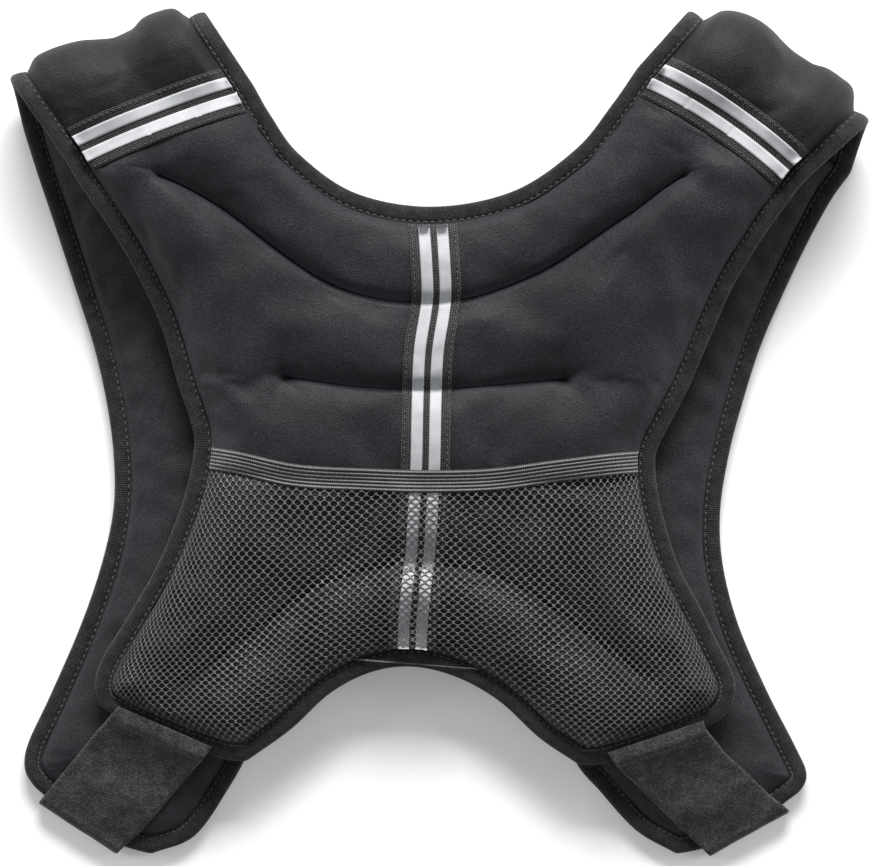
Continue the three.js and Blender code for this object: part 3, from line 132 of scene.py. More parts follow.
# Columns: share of width, left, right
PAD_FILL = [
    [0.07, 0, 0], [0.14, 7, 9], [0.21, 8.4, 13], [0.30, 7.6, 14.6], [0.38, 4.2, 13.6],
    [0.46, 2.8, 11], [0.54, 4.4, 9.4], [0.62, 6.8, 9.6], [0.70, 7.8, 11.4], [0.78, 7.2, 11],
    [0.85, 5.6, 9.4], [0.93, 0, 0]]
# Columns: y, x
CENTRE_WEBBING = [
    [0.750, 0.4900], [0.698, 0.4935], [0.654, 0.4945], [0.594, 0.4860], [0.536, 0.4835],
    [0.460, 0.4820], [0.422, 0.4800], [0.360, 0.4765], [0.330, 0.4730], [0.278, 0.4680],
    [0.238, 0.4665]]
TAPE_OFFSET, TAPE_WIDTH, WEBBING_WIDTH = 4.6, 5.9, 25.0
POCKET_TOP = [
    [-1, 0.484], [-0.8, 0.476], [-0.55, 0.461], [-0.25, 0.4560], [0, 0.4540],
    [0.25, 0.4560], [0.55, 0.466], [0.8, 0.474], [1, 0.478]]
BAND_HEIGHT = 11.5
# Columns: rear x, rear y, front x, front y, lowest height of the lower face
STRAPS = {-1: [
    [0.127, 0.176, 0.236, 0.128, 0], [0.120, 0.167, 0.227, 0.116, 25.8],
    [0.110, 0.155, 0.217, 0.104, 21.5], [0.100, 0.144, 0.207, 0.092, 16.5],
    [0.081, 0.120, 0.185, 0.066, 0], [0.055, 0.088, 0.152, 0.027, 0],
    [0.044, 0.074, 0.136, 0.012, 0]], 1: [
    [0.803, 0.159, 0.692, 0.121, 0], [0.807, 0.148, 0.699, 0.111, 25.8],
    [0.819, 0.133, 0.711, 0.097, 21.5], [0.831, 0.118, 0.725, 0.084, 16.5],
    [0.855, 0.096, 0.747, 0.062, 0], [0.880, 0.071, 0.778, 0.031, 0],
    [0.891, 0.062, 0.791, 0.018, 0]]}
TURN_Z, TURN_RADIUS, TURN_IN, ELASTIC_THICK = 5.0, 3.3, -1.2, 1.6

# Small maths
def mm_x(share):
    return (np.asarray(share) - 0.5) * VEST_WIDTH


def mm_y(share):
    return (np.asarray(share) - 0.5) * VEST_LENGTH


def mix(a, b, t):
    return a + (b - a) * t


def smooth(t):
    k = np.clip(t, 0, 1)
    return k * k * (3 - 2 * k)


def bump(d, width):
    """Bell of height 1 that fades out over the width."""
    return np.exp(-(d / width) ** 2)


def curve(table, key):
    """Cubic curve through rows whose first column is the key; one array a column."""
    t = np.asarray(table, float)
    key = np.asarray(key, float)
    last = len(t) - 1
    i = np.searchsorted(t[1:last, 0], key, side="left")
    a, b = t[i], t[i + 1]
    before, after = t[np.maximum(i - 1, 0)], t[np.minimum(i + 2, last)]
    span = b[..., 0] - a[..., 0]
    s = np.clip((key - a[..., 0]) / span, 0, 1)[..., None]
    span = span[..., None]
    slope_a = (b - before)[..., 1:] / (b - before)[..., :1]
    slope_b = (after - a)[..., 1:] / (after - a)[..., :1]
    s2, s3 = s * s, s * s * s
    return ((2 * s3 - 3 * s2 + 1) * a[..., 1:] + (s3 - 2 * s2 + s) * span * slope_a
            + (3 * s2 - 2 * s3) * b[..., 1:] + (s3 - s2) * span * slope_b)


def swell(distance, reach):
    k = np.clip(distance / reach, 0, 1)
    return np.sqrt(1 - (1 - k) ** 2)


def nearest(x, y, chain):
    """Distance in plan to a chain of points, the height there and the length along it."""
    c = np.asarray(chain, float)
    shape = np.shape(x)
    px, py = np.ravel(x), np.ravel(y)
    best = np.full(px.shape, np.inf)
    height, along = np.zeros(px.shape), np.zeros(px.shape)
    run = 0.0
    for a, b in zip(c[:-1], c[1:]):
        d = b[:2] - a[:2]
        n = float(d @ d) or 1.0
        t = np.clip(((px - a[0]) * d[0] + (py - a[1]) * d[1]) / n, 0, 1)
        e = np.hypot(px - a[0] - d[0] * t, py - a[1] - d[1] * t)
        hit = e < best
        best[hit] = e[hit]
        height[hit] = (a[2] + (b[2] - a[2]) * t)[hit]
        along[hit] = (run + math.sqrt(n) * t)[hit]
        run += math.sqrt(n)
    return best.reshape(shape), height.reshape(shape), along.reshape(shape)


def waves(x, y, size, seed):
    """Soft seeded unevenness between about -1 and 1 with bumps of about that size."""
    r = np.random.default_rng(seed)
    total = np.zeros(np.shape(x))
    for _ in range(14):
        angle, phase = r.uniform(0, 2 * math.pi, 2)
        k = 2 * math.pi / (size * r.uniform(1.3, 3.2))
        total = total + np.sin(k * (np.cos(angle) * x + np.sin(angle) * y) + phase)
    return total / 14 * 1.9


def unit(v):
    return v / np.maximum(np.linalg.norm(v, axis=-1, keepdims=True), 1e-9)


def rib_point(rib, share):
    """Plan place between a rib's two ends, which are x, y, x, y in shares of the vest."""
    return np.stack([mm_x(mix(rib[0], rib[2], share)), mm_y(mix(rib[1], rib[3], share))], -1)


def raised(plan, z):
    """Plan places with a height each."""
    z = np.broadcast_to(z, plan.shape[:-1])
    return np.concatenate([plan[..., :2], z[..., None]], -1)


def run_of(points):
    """Length along rows of points, from the first row."""
    steps = np.linalg.norm(np.diff(points, axis=0), axis=-1)
    return np.concatenate([np.zeros((1, *steps.shape[1:])), np.cumsum(steps, axis=0)])


def sample(at, run, rows):
    """Rows of values read at lengths along them."""
    return np.stack([np.interp(at, run, column) for column in np.transpose(rows)], -1)


def softened(rows):
    """Each row averaged with its neighbours; the first and the last stay."""
    return np.concatenate([rows[:1], (rows[:-2] + 2 * rows[1:-1] + rows[2:]) / 4, rows[-1:]])


def crowded(count, share, low, high):
    """Keys from low to high that crowd toward both ends, more so with a share near 1."""
    turn = math.pi / 2 * share
    return mix(low, high, 0.5 + 0.5 * np.sin(np.linspace(-1, 1, count) * turn) / math.sin(turn))


def pleats(run, period, sway, sway_length, phase=0.0):
    """Wave along a length whose spacing wanders."""
    return np.sin(run * 2 * math.pi / period + sway * np.sin(run / sway_length + phase))


def rim_of(grid):
    """Outer ring of a grid, once round."""
    return np.concatenate([grid[0], grid[1:, -1], grid[-1, -2::-1], grid[-2:0:-1, 0]])


# The vest's surfaces in plan
def back_edge(side, down):
    table = LEFT_EDGE if side < 0 else RIGHT_EDGE
    top = NECK_LINE[0 if side < 0 else -1]
    low = curve(table, np.maximum(down, 1))
    high = np.stack([mix(top[1], table[0][1], down), mix(top[2], table[0][2], down)], -1)
    return np.where(np.asarray(down)[..., None] >= 1, low, high)


def back_point(across, down):
    u, v = np.broadcast_arrays(np.asarray(across, float), np.asarray(down, float))
    i = np.minimum(np.floor(v).astype(int), 4)
    t = v - i

    def along(w):
        lines = np.stack([curve(line, w) for line in BACK_LINES])
        pick = np.indices(u.shape)
        a = lines[(i, *pick)]
        b = lines[(i + 1, *pick)]
        p = mix(a, b, t[..., None])
        p[..., 2] = mix(a[..., 2], b[..., 2], smooth(t))
        return p
    p = along(u)
    for side in (-1, 1):
        share = ((1 + side * u) / 2) ** 3
        p[..., :2] += share[..., None] * (back_edge(side, v) - along(np.full(u.shape, float(side)))[..., :2])
    return np.stack([mm_x(p[..., 0]), mm_y(p[..., 1]), p[..., 2]], -1)


def line_of(fn, a, b, count):
    return fn(np.linspace(a, b, count))


NECK_CHAIN = line_of(lambda u: back_point(u, 0 * u), -1, 1, 49)
ARCH_CHAIN = line_of(lambda u: back_point(u, 0 * u + 5), -1, 1, 49)
SIDE_CHAINS = {s: line_of(lambda v, s=s: back_point(0 * v + s, v), 1, 5, 80) for s in (-1, 1)}
SHOULDER_CHAINS = [back_point(np.full(2, float(s)), np.array([0.0, 1.0])) for s in (-1, 1)]
BOUND_CHAINS = [NECK_CHAIN, ARCH_CHAIN, SIDE_CHAINS[-1], SIDE_CHAINS[1]]
SEAM_CHAINS = [line_of(lambda u, d=d: back_point(u, 0 * u + d), -r, r, 49) for d, r, _ in SEAMS]


def bound(x, y, chains):
    found = [nearest(x, y, c) for c in chains]
    d = np.stack([f[0] for f in found])
    k = d.argmin(0)[None]
    return [np.take_along_axis(np.stack([f[m] for f in found]), k, 0)[0] for m in range(3)]


def lip_half(distance):
    return mix(LIP_EDGE_HALF, LIP_HALF, np.clip((distance - 1.4) / 9, 0, 1))


def front_point(side, share, row):
    share, row = np.broadcast_arrays(np.asarray(share, float), np.asarray(row, float))
    ribs = FRONT_LEFT if side < 0 else FRONT_RIGHT
    plan = rib_point(np.moveaxis(curve([[i, *r] for i, r in enumerate(ribs)], row), -1, 0), share)
    # The lower end bows outward a little
    across = np.abs(rib_point(ribs[-1], 1) - rib_point(ribs[-1], 0))
    outward = np.array([side * across[1], -across[0]]) / np.linalg.norm(across)
    bow = END_BOW * 4 * share * (1 - share) * smooth((row - FRONT_ROWS + 2) / 2)
    return raised(plan + bow[..., None] * outward, mix(FOLD_BOTTOM_Z, FRONT_LIP_Z, smooth(row / 2.5)))


def front_chain(side):
    return np.concatenate([
        line_of(lambda r: front_point(side, 0 * r, r), 0, FRONT_ROWS, 60),
        line_of(lambda s: front_point(side, s, 0 * s + FRONT_ROWS), 0.1, 1, 10),
        line_of(lambda r: front_point(side, 0 * r + 1, r), FRONT_ROWS, 0, 60)])


FRONT_CHAINS = {s: front_chain(s) for s in (-1, 1)}


def pad_point(side, share, along):
    """Place on a shoulder fold, and the fold's length there: level, round the bend and level again."""
    share, along = np.broadcast_arrays(np.asarray(share, float), np.asarray(along, float))
    rear = back_point(np.full(share.shape, float(side)), share)[..., :2]
    front = rib_point((FRONT_LEFT if side < 0 else FRONT_RIGHT)[0], share)
    crest = rib_point(CREST[side], share)
    upper, lower = np.linalg.norm(crest - rear, axis=-1), np.linalg.norm(crest - front, axis=-1)
    total = upper + lower + (math.pi - 2) * FOLD_RADIUS
    left = along * total
    angle = np.clip((left - upper) / FOLD_RADIUS + 1, 0, math.pi)
    above = angle <= math.pi / 2
    level = np.where(above, np.minimum(left, upper - FOLD_RADIUS),
                     np.minimum(total - left, lower - FOLD_RADIUS))
    out = (level + FOLD_RADIUS * np.sin(angle)) / np.where(above, upper, lower)
    plan = mix(np.where(above[..., None], rear, front), crest, out[..., None])
    return raised(plan, (FOLD_TOP_Z + FOLD_BOTTOM_Z) / 2 + FOLD_RADIUS * np.cos(angle)), total


# Meshes
def make(name, points, quads, tris=None, uv=None, material=None):
    """Smooth mesh object from points in millimetres; uv is one pair a point, in millimetres too."""
    co = (np.asarray(points, float).reshape(-1, 3) + SHIFT) * MM
    loops, starts, totals = [], [], []
    at = 0
    for faces, n in ((quads, 4), (tris, 3)):
        if faces is None:
            continue
        f = np.asarray(faces, int)
        loops.append(f.ravel())
        starts.append(at + np.arange(len(f)) * n)
        totals.append(np.full(len(f), n))
        at += len(f) * n
    loops, starts, totals = np.concatenate(loops), np.concatenate(starts), np.concatenate(totals)
    mesh = bpy.data.meshes.new(name)
    mesh.vertices.add(len(co))
    mesh.vertices.foreach_set("co", co.astype(np.float32).ravel())
    mesh.loops.add(len(loops))
    mesh.loops.foreach_set("vertex_index", loops.astype(np.int32))
    mesh.polygons.add(len(starts))
    mesh.polygons.foreach_set("loop_start", starts.astype(np.int32))
    mesh.polygons.foreach_set("loop_total", totals.astype(np.int32))
    mesh.update(calc_edges=True)
    mesh.validate()
    pairs = (np.asarray(uv, float).reshape(-1, 2) * MM)[loops].astype(np.float32)
    mesh.uv_layers.new(name="UVMap").data.foreach_set("uv", pairs.ravel())
    mesh.polygons.foreach_set("use_smooth", np.full(len(starts), True))
    if material is not None:
        mesh.materials.append(material)
    o = bpy.data.objects.new(name, mesh)
    bpy.context.scene.collection.objects.link(o)
    return o


def grid_quads(rows, cols, offset=0, flip=False, closed=False):
    r, c = np.meshgrid(np.arange(rows - 1), np.arange(cols if closed else cols - 1), indexing="ij")
    here, nxt = r * cols + c, r * cols + (c + 1) % cols
    q = np.stack([here, here + cols, nxt + cols, nxt], -1).reshape(-1, 4) + offset
    return q[:, ::-1] if flip else q


def shell(name, top, bottom, uv, material):
    """Closed piece from two matching grids of points, joined round their rims."""
    rows, cols = top.shape[:2]
    n = rows * cols
    ring = rim_of(np.arange(n).reshape(rows, cols))
    nxt = np.roll(ring, -1)
    wall = np.stack([ring, nxt, nxt + n, ring + n], -1)
    a = top.reshape(-1, 3)
    up = np.cross(a[1] - a[0], a[cols] - a[0])[2] > 0
    quads = np.concatenate([grid_quads(rows, cols, 0, up), grid_quads(rows, cols, n, not up),
                            wall[:, ::-1] if up else wall])
    points = np.concatenate([a, bottom.reshape(-1, 3)])
    return make(name, points, quads, uv=np.concatenate([uv.reshape(-1, 2)] * 2), material=material)


def tube(name, rings, uv, material):
    """Closed sweep from rings of points of one count, its two ends filled."""
    count, k = rings.shape[:2]
    pts = np.concatenate([rings.reshape(-1, 3), rings[0].mean(0)[None], rings[-1].mean(0)[None]])
    i = np.arange(k)
    nxt, last = (i + 1) % k, (count - 1) * k
    first_fan = np.stack([np.full(k, count * k), i, nxt], -1)
    last_fan = np.stack([np.full(k, count * k + 1), last + nxt, last + i], -1)
    uv = np.concatenate([uv.reshape(-1, 2), uv[0].mean(0)[None], uv[-1].mean(0)[None]])
    fans = np.concatenate([first_fan, last_fan])
    return make(name, pts, grid_quads(count, k, closed=True), fans, uv=uv, material=material)


def tree(objects):
    """What is below, for finding heights: the faces of some pieces in millimetres."""
    pts, faces, at = [], [], 0
    for o in objects:
        m = o.data
        co = np.zeros(len(m.vertices) * 3, np.float32)
        m.vertices.foreach_get("co", co)
        pts.append(co.reshape(-1, 3) / MM - SHIFT)
        faces += [[at + i for i in p.vertices] for p in m.polygons]
        at += len(m.vertices)
    return BVHTree.FromPolygons([Vector(p) for p in np.concatenate(pts)], faces)


MISSING, RAY_START = -1e9, 200.0


def heights(below, plan):
    """Height of what is below each plan place, far down where there is nothing."""
    z = np.full(plan.shape[:-1], MISSING)
    flat = z.ravel()
    for i, (x, y) in enumerate(plan[..., :2].reshape(-1, 2)):
        hit = below.ray_cast(Vector((float(x), float(y), RAY_START)), Vector((0, 0, -1)))
        if hit[0] is not None:
            flat[i] = hit[0].z
    return flat.reshape(z.shape)


def settle(low, rounds):
    """Draws a sheet tight between its edges but never under what it lies on."""
    z = low
    for _ in range(rounds):
        m = z.copy()
        m[1:-1, 1:-1] = (z[:-2, 1:-1] + z[2:, 1:-1] + z[1:-1, :-2] + z[1:-1, 2:]) / 4
        m[0, 1:-1] = (z[0, :-2] + z[0, 2:]) / 2
        m[-1, 1:-1] = (z[-1, :-2] + z[-1, 2:]) / 2
        m[1:-1, 0] = (z[:-2, 0] + z[2:, 0]) / 2
        m[1:-1, -1] = (z[:-2, -1] + z[2:, -1]) / 2
        z = np.maximum(m, low)
    return z


def declare(o, slot, *nodes):
    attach(o, "root")
    if nodes:
        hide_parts(*nodes)
    return o


# Pressure in the padded pieces
PRESSURE, COARSE_STEP, LAST_FRAME, SLACK = 4.0, 3, 20, 0.02


def back_to_full(coarse, rows, cols, shape):
    """Values on a coarse grid brought smoothly onto the full one."""
    out = sample(np.arange(shape[1]), cols, coarse.T).T
    out = sample(np.arange(shape[0]), rows, out)
    for _ in range(4):
        out = softened(softened(out).T).T
    return out


def swelled(top, under, held, under_held, cap):
    """A padded piece blown up as cloth: a coarser copy is simulated, and its moves are capped."""
    rows, cols = (np.unique(np.append(np.arange(0, n, COARSE_STEP), n - 1)) for n in top.shape[:2])
    pick = np.ix_(rows, cols)
    start = np.stack([top[pick], under[pick]])
    o = shell("swelling_copy", start[0], start[1], start[0][..., :2], None)
    group = o.vertex_groups.new(name="held")
    weight = np.concatenate([held[pick].ravel(), under_held[pick].ravel()])
    for k in np.flatnonzero(weight > 0.02):
        group.add([int(k)], float(weight[k]), "REPLACE")
    cloth = o.modifiers.new("cloth", "CLOTH")
    c = cloth.settings
    c.quality = 5
    c.mass = 0.25
    c.tension_stiffness = c.compression_stiffness = 12
    c.shear_stiffness = 4
    c.bending_stiffness = 0.5
    c.vertex_group_mass = "held"
    c.shrink_min = -SLACK
    c.use_pressure = True
    c.uniform_pressure_force = PRESSURE
    c.effector_weights.gravity = 0
    cloth.point_cache.frame_start, cloth.point_cache.frame_end = 1, LAST_FRAME
    for moment in range(1, LAST_FRAME + 1):
        bpy.context.scene.frame_set(moment)
    done = o.evaluated_get(bpy.context.evaluated_depsgraph_get()).data
    co = np.zeros(len(done.vertices) * 3, np.float32)
    done.vertices.foreach_get("co", co)
    move = (co.reshape(-1, 3) / MM - SHIFT).reshape(start.shape) - start
    bpy.data.objects.remove(o)
    bpy.context.scene.frame_set(1)
    far = np.linalg.norm(move, axis=-1, keepdims=True)
    move = move * cap * np.tanh(far / cap) / np.maximum(far, 1e-9)
    full = [np.stack([back_to_full(m[..., k], rows, cols, top.shape[:2]) for k in range(3)], -1) for m in move]
    return top + full[0] * (1 - held)[..., None], under + full[1] * (1 - under_held)[..., None]


# Materials
class Surface:
    """A material, with short names for building its nodes; lengths are in metres."""

    def __init__(self, name):
        self.material = bpy.data.materials.new(name)
        self.material.use_nodes = True
        self.tree = self.material.node_tree
        self.inputs = self.tree.nodes["Principled BSDF"].inputs

    def node(self, kind, **props):
        n = self.tree.nodes.new(kind)
        for k, v in props.items():
            setattr(n, k, v)
        return n

    def put(self, value, socket):
        if hasattr(value, "is_output"):
            self.tree.links.new(value, socket)
        else:
            socket.default_value = value

    def math(self, op, a, b=0.0, c=0.0):
        n = self.node("ShaderNodeMath", operation=op)
        for v, s in zip((a, b, c), n.inputs):
            self.put(v, s)
        return n.outputs[0]

    def sum(self, *parts):
        """Sum of values, each given with its weight."""
        total = 0.0
        for value, weight in parts:
            total = self.math("MULTIPLY_ADD", value, weight, total)
        return total

    def along(self):
        """The two coordinates of the piece's own cloth."""
        n = self.node("ShaderNodeSeparateXYZ")
        self.put(self.node("ShaderNodeUVMap", uv_map="UVMap").outputs[0], n.inputs[0])
        return n.outputs[0], n.outputs[1]

    def noise(self, scale, detail=2.0, rough=0.5):
        n = self.node("ShaderNodeTexNoise")
        self.put(self.node("ShaderNodeTexCoord").outputs["Object"], n.inputs["Vector"])
        for socket, value in (("Scale", scale), ("Detail", detail), ("Roughness", rough)):
            n.inputs[socket].default_value = value
        return n.outputs["Fac"]

    def ramp(self, fac, stops):
        n = self.node("ShaderNodeValToRGB")
        self.put(fac, n.inputs[0])
        e = n.color_ramp.elements
        while len(e) < len(stops):
            e.new(0.5)
        for k, (at, colour) in enumerate(stops):
            e[k].position = at
            e[k].color = (*colour, 1)
        return n.outputs[0]

    def span(self, value, a, b, c, d):
        """Value from the span a to b brought to the span c to d."""
        n = self.node("ShaderNodeMapRange")
        for s, v in zip(n.inputs[:5], (value, a, b, c, d)):
            self.put(v, s)
        return n.outputs[0]

    def relief(self, height, strength, distance, normal=None):
        n = self.node("ShaderNodeBump")
        self.put(height, n.inputs["Height"])
        n.inputs["Strength"].default_value = strength
        n.inputs["Distance"].default_value = distance
        if normal is not None:
            self.put(normal, n.inputs["Normal"])
        return n.outputs[0]

    def stripes(self, value, period):
        """0 to 1 rounded ribs along one coordinate."""
        s = self.math("SINE", self.math("MULTIPLY", value, 2 * math.pi / period))
        return self.math("MULTIPLY_ADD", s, 0.5, 0.5)

    def done(self, colour, rough, specular, normal, sheen=0.0, sheen_rough=0.5):
        """The material with its own sockets set or joined."""
        for socket, value in (("Base Color", colour), ("Roughness", rough), ("Specular IOR Level", specular),
                              ("Normal", normal), ("Sheen Weight", sheen), ("Sheen Roughness", sheen_rough)):
            self.put(value, self.inputs[socket])
        return self.material


def tones(light, tint, *stops):
    """Colour stops from greys, each given with its place, all tinted and lit alike."""
    return [(at, [light * grey * c for c in tint]) for at, grey in stops]


def neoprene(name, light, sheen):
    k = Surface(name)
    grain = k.noise(1050, 1)
    colours = ((0.34, (0.0042, 0.0046, 0.0062)), (0.5, (0.0125, 0.0130, 0.0154)),
               (0.66, (0.0330, 0.0337, 0.0390)))
    both = k.sum((grain, 0.38), (k.noise(2300, 1), 0.38), (k.noise(26, 4, 0.6), 0.24))
    colour = k.ramp(both, [(at, [light * c for c in value]) for at, value in colours])
    k.inputs["Sheen Tint"].default_value = (0.8, 0.85, 0.95, 1)
    normal = k.relief(grain, 0.6, 0.0004, k.relief(k.noise(90, 3, 0.6), 0.25, 0.0012))
    return k.done(colour, 0.62, 0.22, normal, sheen, 0.45)


def binding_tape():
    k = Surface("binding_tape")
    u, v = k.along()
    rib, yarn = k.stripes(u, 0.0011), k.stripes(v, 0.0009)
    fuzz, patch = k.noise(1100, 2, 0.6), k.noise(160, 3, 0.6)
    tone = k.sum((k.math("MULTIPLY", rib, yarn), 0.22), (fuzz, 0.46), (patch, 0.36))
    colour = k.ramp(tone, [(0.32, (0.0035, 0.0037, 0.0042)), (0.5, (0.0150, 0.0152, 0.0165)),
                           (0.7, (0.060, 0.059, 0.060))])
    weave = k.relief(k.sum((rib, 0.6), (yarn, 0.4)), 0.9, 0.0003, k.relief(patch, 0.6, 0.0009))
    return k.done(colour, 0.75, 0.25, k.relief(fuzz, 0.6, 0.0003, weave), 0.15, 0.4)


def webbing_weave(name, light):
    k = Surface(name)
    u, v = k.along()
    # Herringbone: the slant of the yarns turns over every 2.6 mm across the webbing
    slant = k.stripes(k.math("ADD", v, k.math("PINGPONG", u, 0.0026)), 0.0014)
    cord = k.stripes(u, 0.0011)
    fuzz = k.noise(1300, 2, 0.6)
    stops = tones(light, (1, 1.02, 1.07), (0.36, 0.0045), (0.5, 0.033), (0.63, 0.15))
    colour = k.ramp(k.sum((slant, 0.32), (cord, 0.18), (fuzz, 0.5)), stops)
    normal = k.relief(fuzz, 0.45, 0.0002, k.relief(k.math("ADD", slant, cord), 0.7, 0.00025))
    return k.done(colour, 0.82, 0.2, normal, 0.12, 0.4)


def reflective():
    k = Surface("reflective_tape")
    u, v = k.along()
    wear = k.noise(90, 3, 0.6)
    tone = k.sum((k.noise(2400, 2, 0.6), 0.3), (wear, 0.7))
    colour = k.ramp(tone, [(0.3, (0.40, 0.41, 0.425)), (0.55, (0.49, 0.502, 0.52)),
                           (0.8, (0.54, 0.552, 0.57))])
    weave = k.math("MULTIPLY", k.stripes(u, 0.0005), k.stripes(v, 0.0005))
    normal = k.relief(wear, 0.25, 0.0004, k.relief(weave, 0.3, 0.0001))
    return k.done(colour, k.span(wear, 0.3, 0.7, 0.84, 0.94), 0.04, normal)


def hem_weave():
    k = Surface("hem_elastic")
    u, v = k.along()
    rib, cross = k.stripes(u, 0.002), k.stripes(v, 0.0011)
    fuzz = k.noise(1200, 2, 0.6)
    # The rib stripes keep step with the band's ridges, lighter on the ridges and darker in the grooves between
    # them: painted shade in the grooves. They also give the ridges' bumps
    tone = k.sum((rib, 0.34), (cross, 0.16), (fuzz, 0.36), (k.noise(70, 3), 0.14))
    colour = k.ramp(tone, tones(3.4, (1, 1, 1.02), (0.25, 0.0045), (0.5, 0.026), (0.78, 0.085)))
    weave = k.sum((rib, 0.7), (cross, 0.3))
    normal = k.relief(fuzz, 0.5, 0.0002, k.relief(weave, 0.9, 0.0003))
    return k.done(colour, 0.8, 0.3, normal, 0.25, 0.45)


def strap_weave():
    k = Surface("strap_elastic")
    twill = k.stripes(k.math("ADD", *k.along()), 0.0016)
    fuzz = k.noise(950, 2, 0.6)
    tone = k.sum((twill, 0.14), (fuzz, 0.46), (k.noise(110, 4, 0.7), 0.40))
    colour = k.ramp(tone, [(0.34, (0.0065, 0.0067, 0.0075)), (0.5, (0.027, 0.0273, 0.0285)),
                           (0.66, (0.095, 0.095, 0.096))])
    normal = k.relief(fuzz, 0.6, 0.0003, k.relief(twill, 0.4, 0.0002))
    return k.done(colour, 0.8, 0.25, normal, 0.2, 0.45)


def thread(name, dark, pale_and_glint, rough, specular):
    k = Surface(name)
    ply = k.stripes(k.math("ADD", *k.along()), 0.0006)
    # The colour runs from dark to pale with the ply and fine noise. This is partly the yarn's own uneven tone
    # and partly painted glints on the pale flecks
    tone = k.sum((ply, 0.5), (k.noise(1800), 0.5))
    return k.done(k.ramp(tone, [(0.25, dark), (0.8, pale_and_glint)]), rough, specular, k.relief(ply, 0.5, 0.00012))


def plastic():
    k = Surface("buckle_plastic")
    grain = k.noise(1400)
    colour = k.ramp(k.noise(40), [(0.3, (0.009, 0.009, 0.0095)), (0.7, (0.015, 0.015, 0.016))])
    return k.done(colour, k.span(grain, 0.3, 0.7, 0.40, 0.55), 0.5, k.relief(grain, 0.25, 0.0001))


NEOPRENE = neoprene("neoprene", 1.05, 0.26)
# The shoulder pads get a darker copy of the same neoprene, with less sheen: painted shade on the pads
PAD_NEOPRENE_PAINTED_SHADE = neoprene("neoprene_shoulder_painted_shade", 0.66, 0.06)
BINDING = binding_tape()
WEBBING = webbing_weave("centre_webbing", 0.62)
SHOULDER_WEBBING = webbing_weave("shoulder_webbing", 0.42)
REFLECTIVE = reflective()
HEM = hem_weave()
ELASTIC = strap_weave()
# Net yarn and stitch thread: the pale end of each is partly painted glint
NET_YARN = thread("net_yarn", (0.008, 0.0084, 0.0095), (0.21, 0.21, 0.215), 0.30, 0.8)
STITCH = thread("stitch_thread", (0.030, 0.030, 0.031), (0.10, 0.10, 0.102), 0.6, 0.45)
PLASTIC = plastic()

# Back panel: rows stand closer near the seams
U_COUNT, V_COUNT, CROWDING, CROWDED_WIDTH = 191, 207, 1.9, 3.4
v_try = np.linspace(0.03, 4.97, 600)
run = sum(run_of(back_point(np.full(600, u), v_try)[:, :2]) for u in (-0.6, 0.0, 0.6)) / 3
near_seam = sum(bump(run - np.interp(down, v_try, run), CROWDED_WIDTH) for down, _, _ in SEAMS)
run = np.concatenate([[0], np.cumsum(np.diff(run) * (1 + CROWDING * near_seam[1:]))])
v_keys = np.interp(np.linspace(0, run[-1], V_COUNT), run, v_try)
UU, VV = np.meshgrid(crowded(U_COUNT, 0.86, -0.985, 0.985), v_keys)
back_plan = back_point(UU, VV)
bx, by, bz = back_plan[..., 0], back_plan[..., 1], back_plan[..., 2]
edge_d, edge_z, edge_run = bound(bx, by, BOUND_CHAINS)
shoulder_d = bound(bx, by, SHOULDER_CHAINS)[0]
seam_d = [nearest(bx, by, c) for c in SEAM_CHAINS]
fill = swell(edge_d - PUFF_START, BACK_FILL_REACH) * swell(shoulder_d - 1.5, BACK_FILL_REACH * 0.8)
for (down, reach, depth), (d, _, _) in zip(SEAMS, seam_d):
    fill = fill * mix(1 - depth * (1 - SEAM_FLOOR), 1, swell(d, SEAM_REACH))
base = mix(edge_z, bz, smooth((edge_d - PUFF_START - 0.5) / 14))
# Under the pocket the padding is pressed thinner between the band and the lowest seam
pressed = smooth((VV - 3.1) / 0.25) * smooth((4.02 - VV) / 0.2) * (1 - smooth((np.abs(UU) - 0.45) / 0.35))
pressed = pressed * mix(0.3, 1, smooth((np.abs(UU + 0.02) - 0.08) / 0.1))
fill = fill * (1 - 0.38 * pressed)

# A rolled lip and a crease at each seam, faint puckers, hollows at the ends of the second seam
clear = smooth((edge_d - PUFF_START) / 6)
detail = 0.30 * waves(bx, by, 23, 3) + 0.07 * waves(bx, by, 9, 4)
PUCKERS = (0.12, 0.12, 0.05, 0.14)
for k, ((down, _, depth), (d, _, along), strength) in enumerate(zip(SEAMS, seam_d, PUCKERS)):
    pleat = pleats(along, 11, 2.2, 19, k) + 0.6 * np.sin(along * 2 * math.pi / 6.3 + k)
    detail = detail + strength * pleat * bump(d - 3.4, 4.2) * (0.6 + 0.4 * np.sin(along / 31 + 2 * k))
    signed = d * np.where(VV > down, 1, -1)
    detail = detail + depth * (0.55 * bump(signed - 1.9, 1.5) - 1.3 * bump(signed, 1.1))
pleat = pleats(edge_run, 16, 1.7, 37) + 0.5 * np.sin(edge_run * 2 * math.pi / 9.3)
detail = detail + 0.10 * pleat * bump(edge_d - PUFF_START - 5, 5.5)
for side in (-1, 1):
    end = back_point(np.array(side * 0.52), np.array(2.0))
    x, y = bx - end[0], by - end[1]
    detail = detail - 3.0 * bump(np.hypot(x, y * 1.25), 4.6)
    detail = detail + 0.26 * np.cos(5 * np.arctan2(y, x) + 0.6) * bump(np.hypot(x, y * 1.25) - 9, 6)
back_top = raised(back_plan, base + lip_half(edge_d) + BACK_TOP_FILL * fill + clear * detail)
back_under = raised(back_plan, base - lip_half(edge_d) - BACK_UNDER_FILL * fill - 0.5 * clear * detail)
sewn = [depth * bump(d, 3.0) for (_, _, depth), (d, _, _) in zip(SEAMS, seam_d)]
held = np.clip(np.maximum(1 - clear, np.max(sewn, axis=0)), 0, 1)
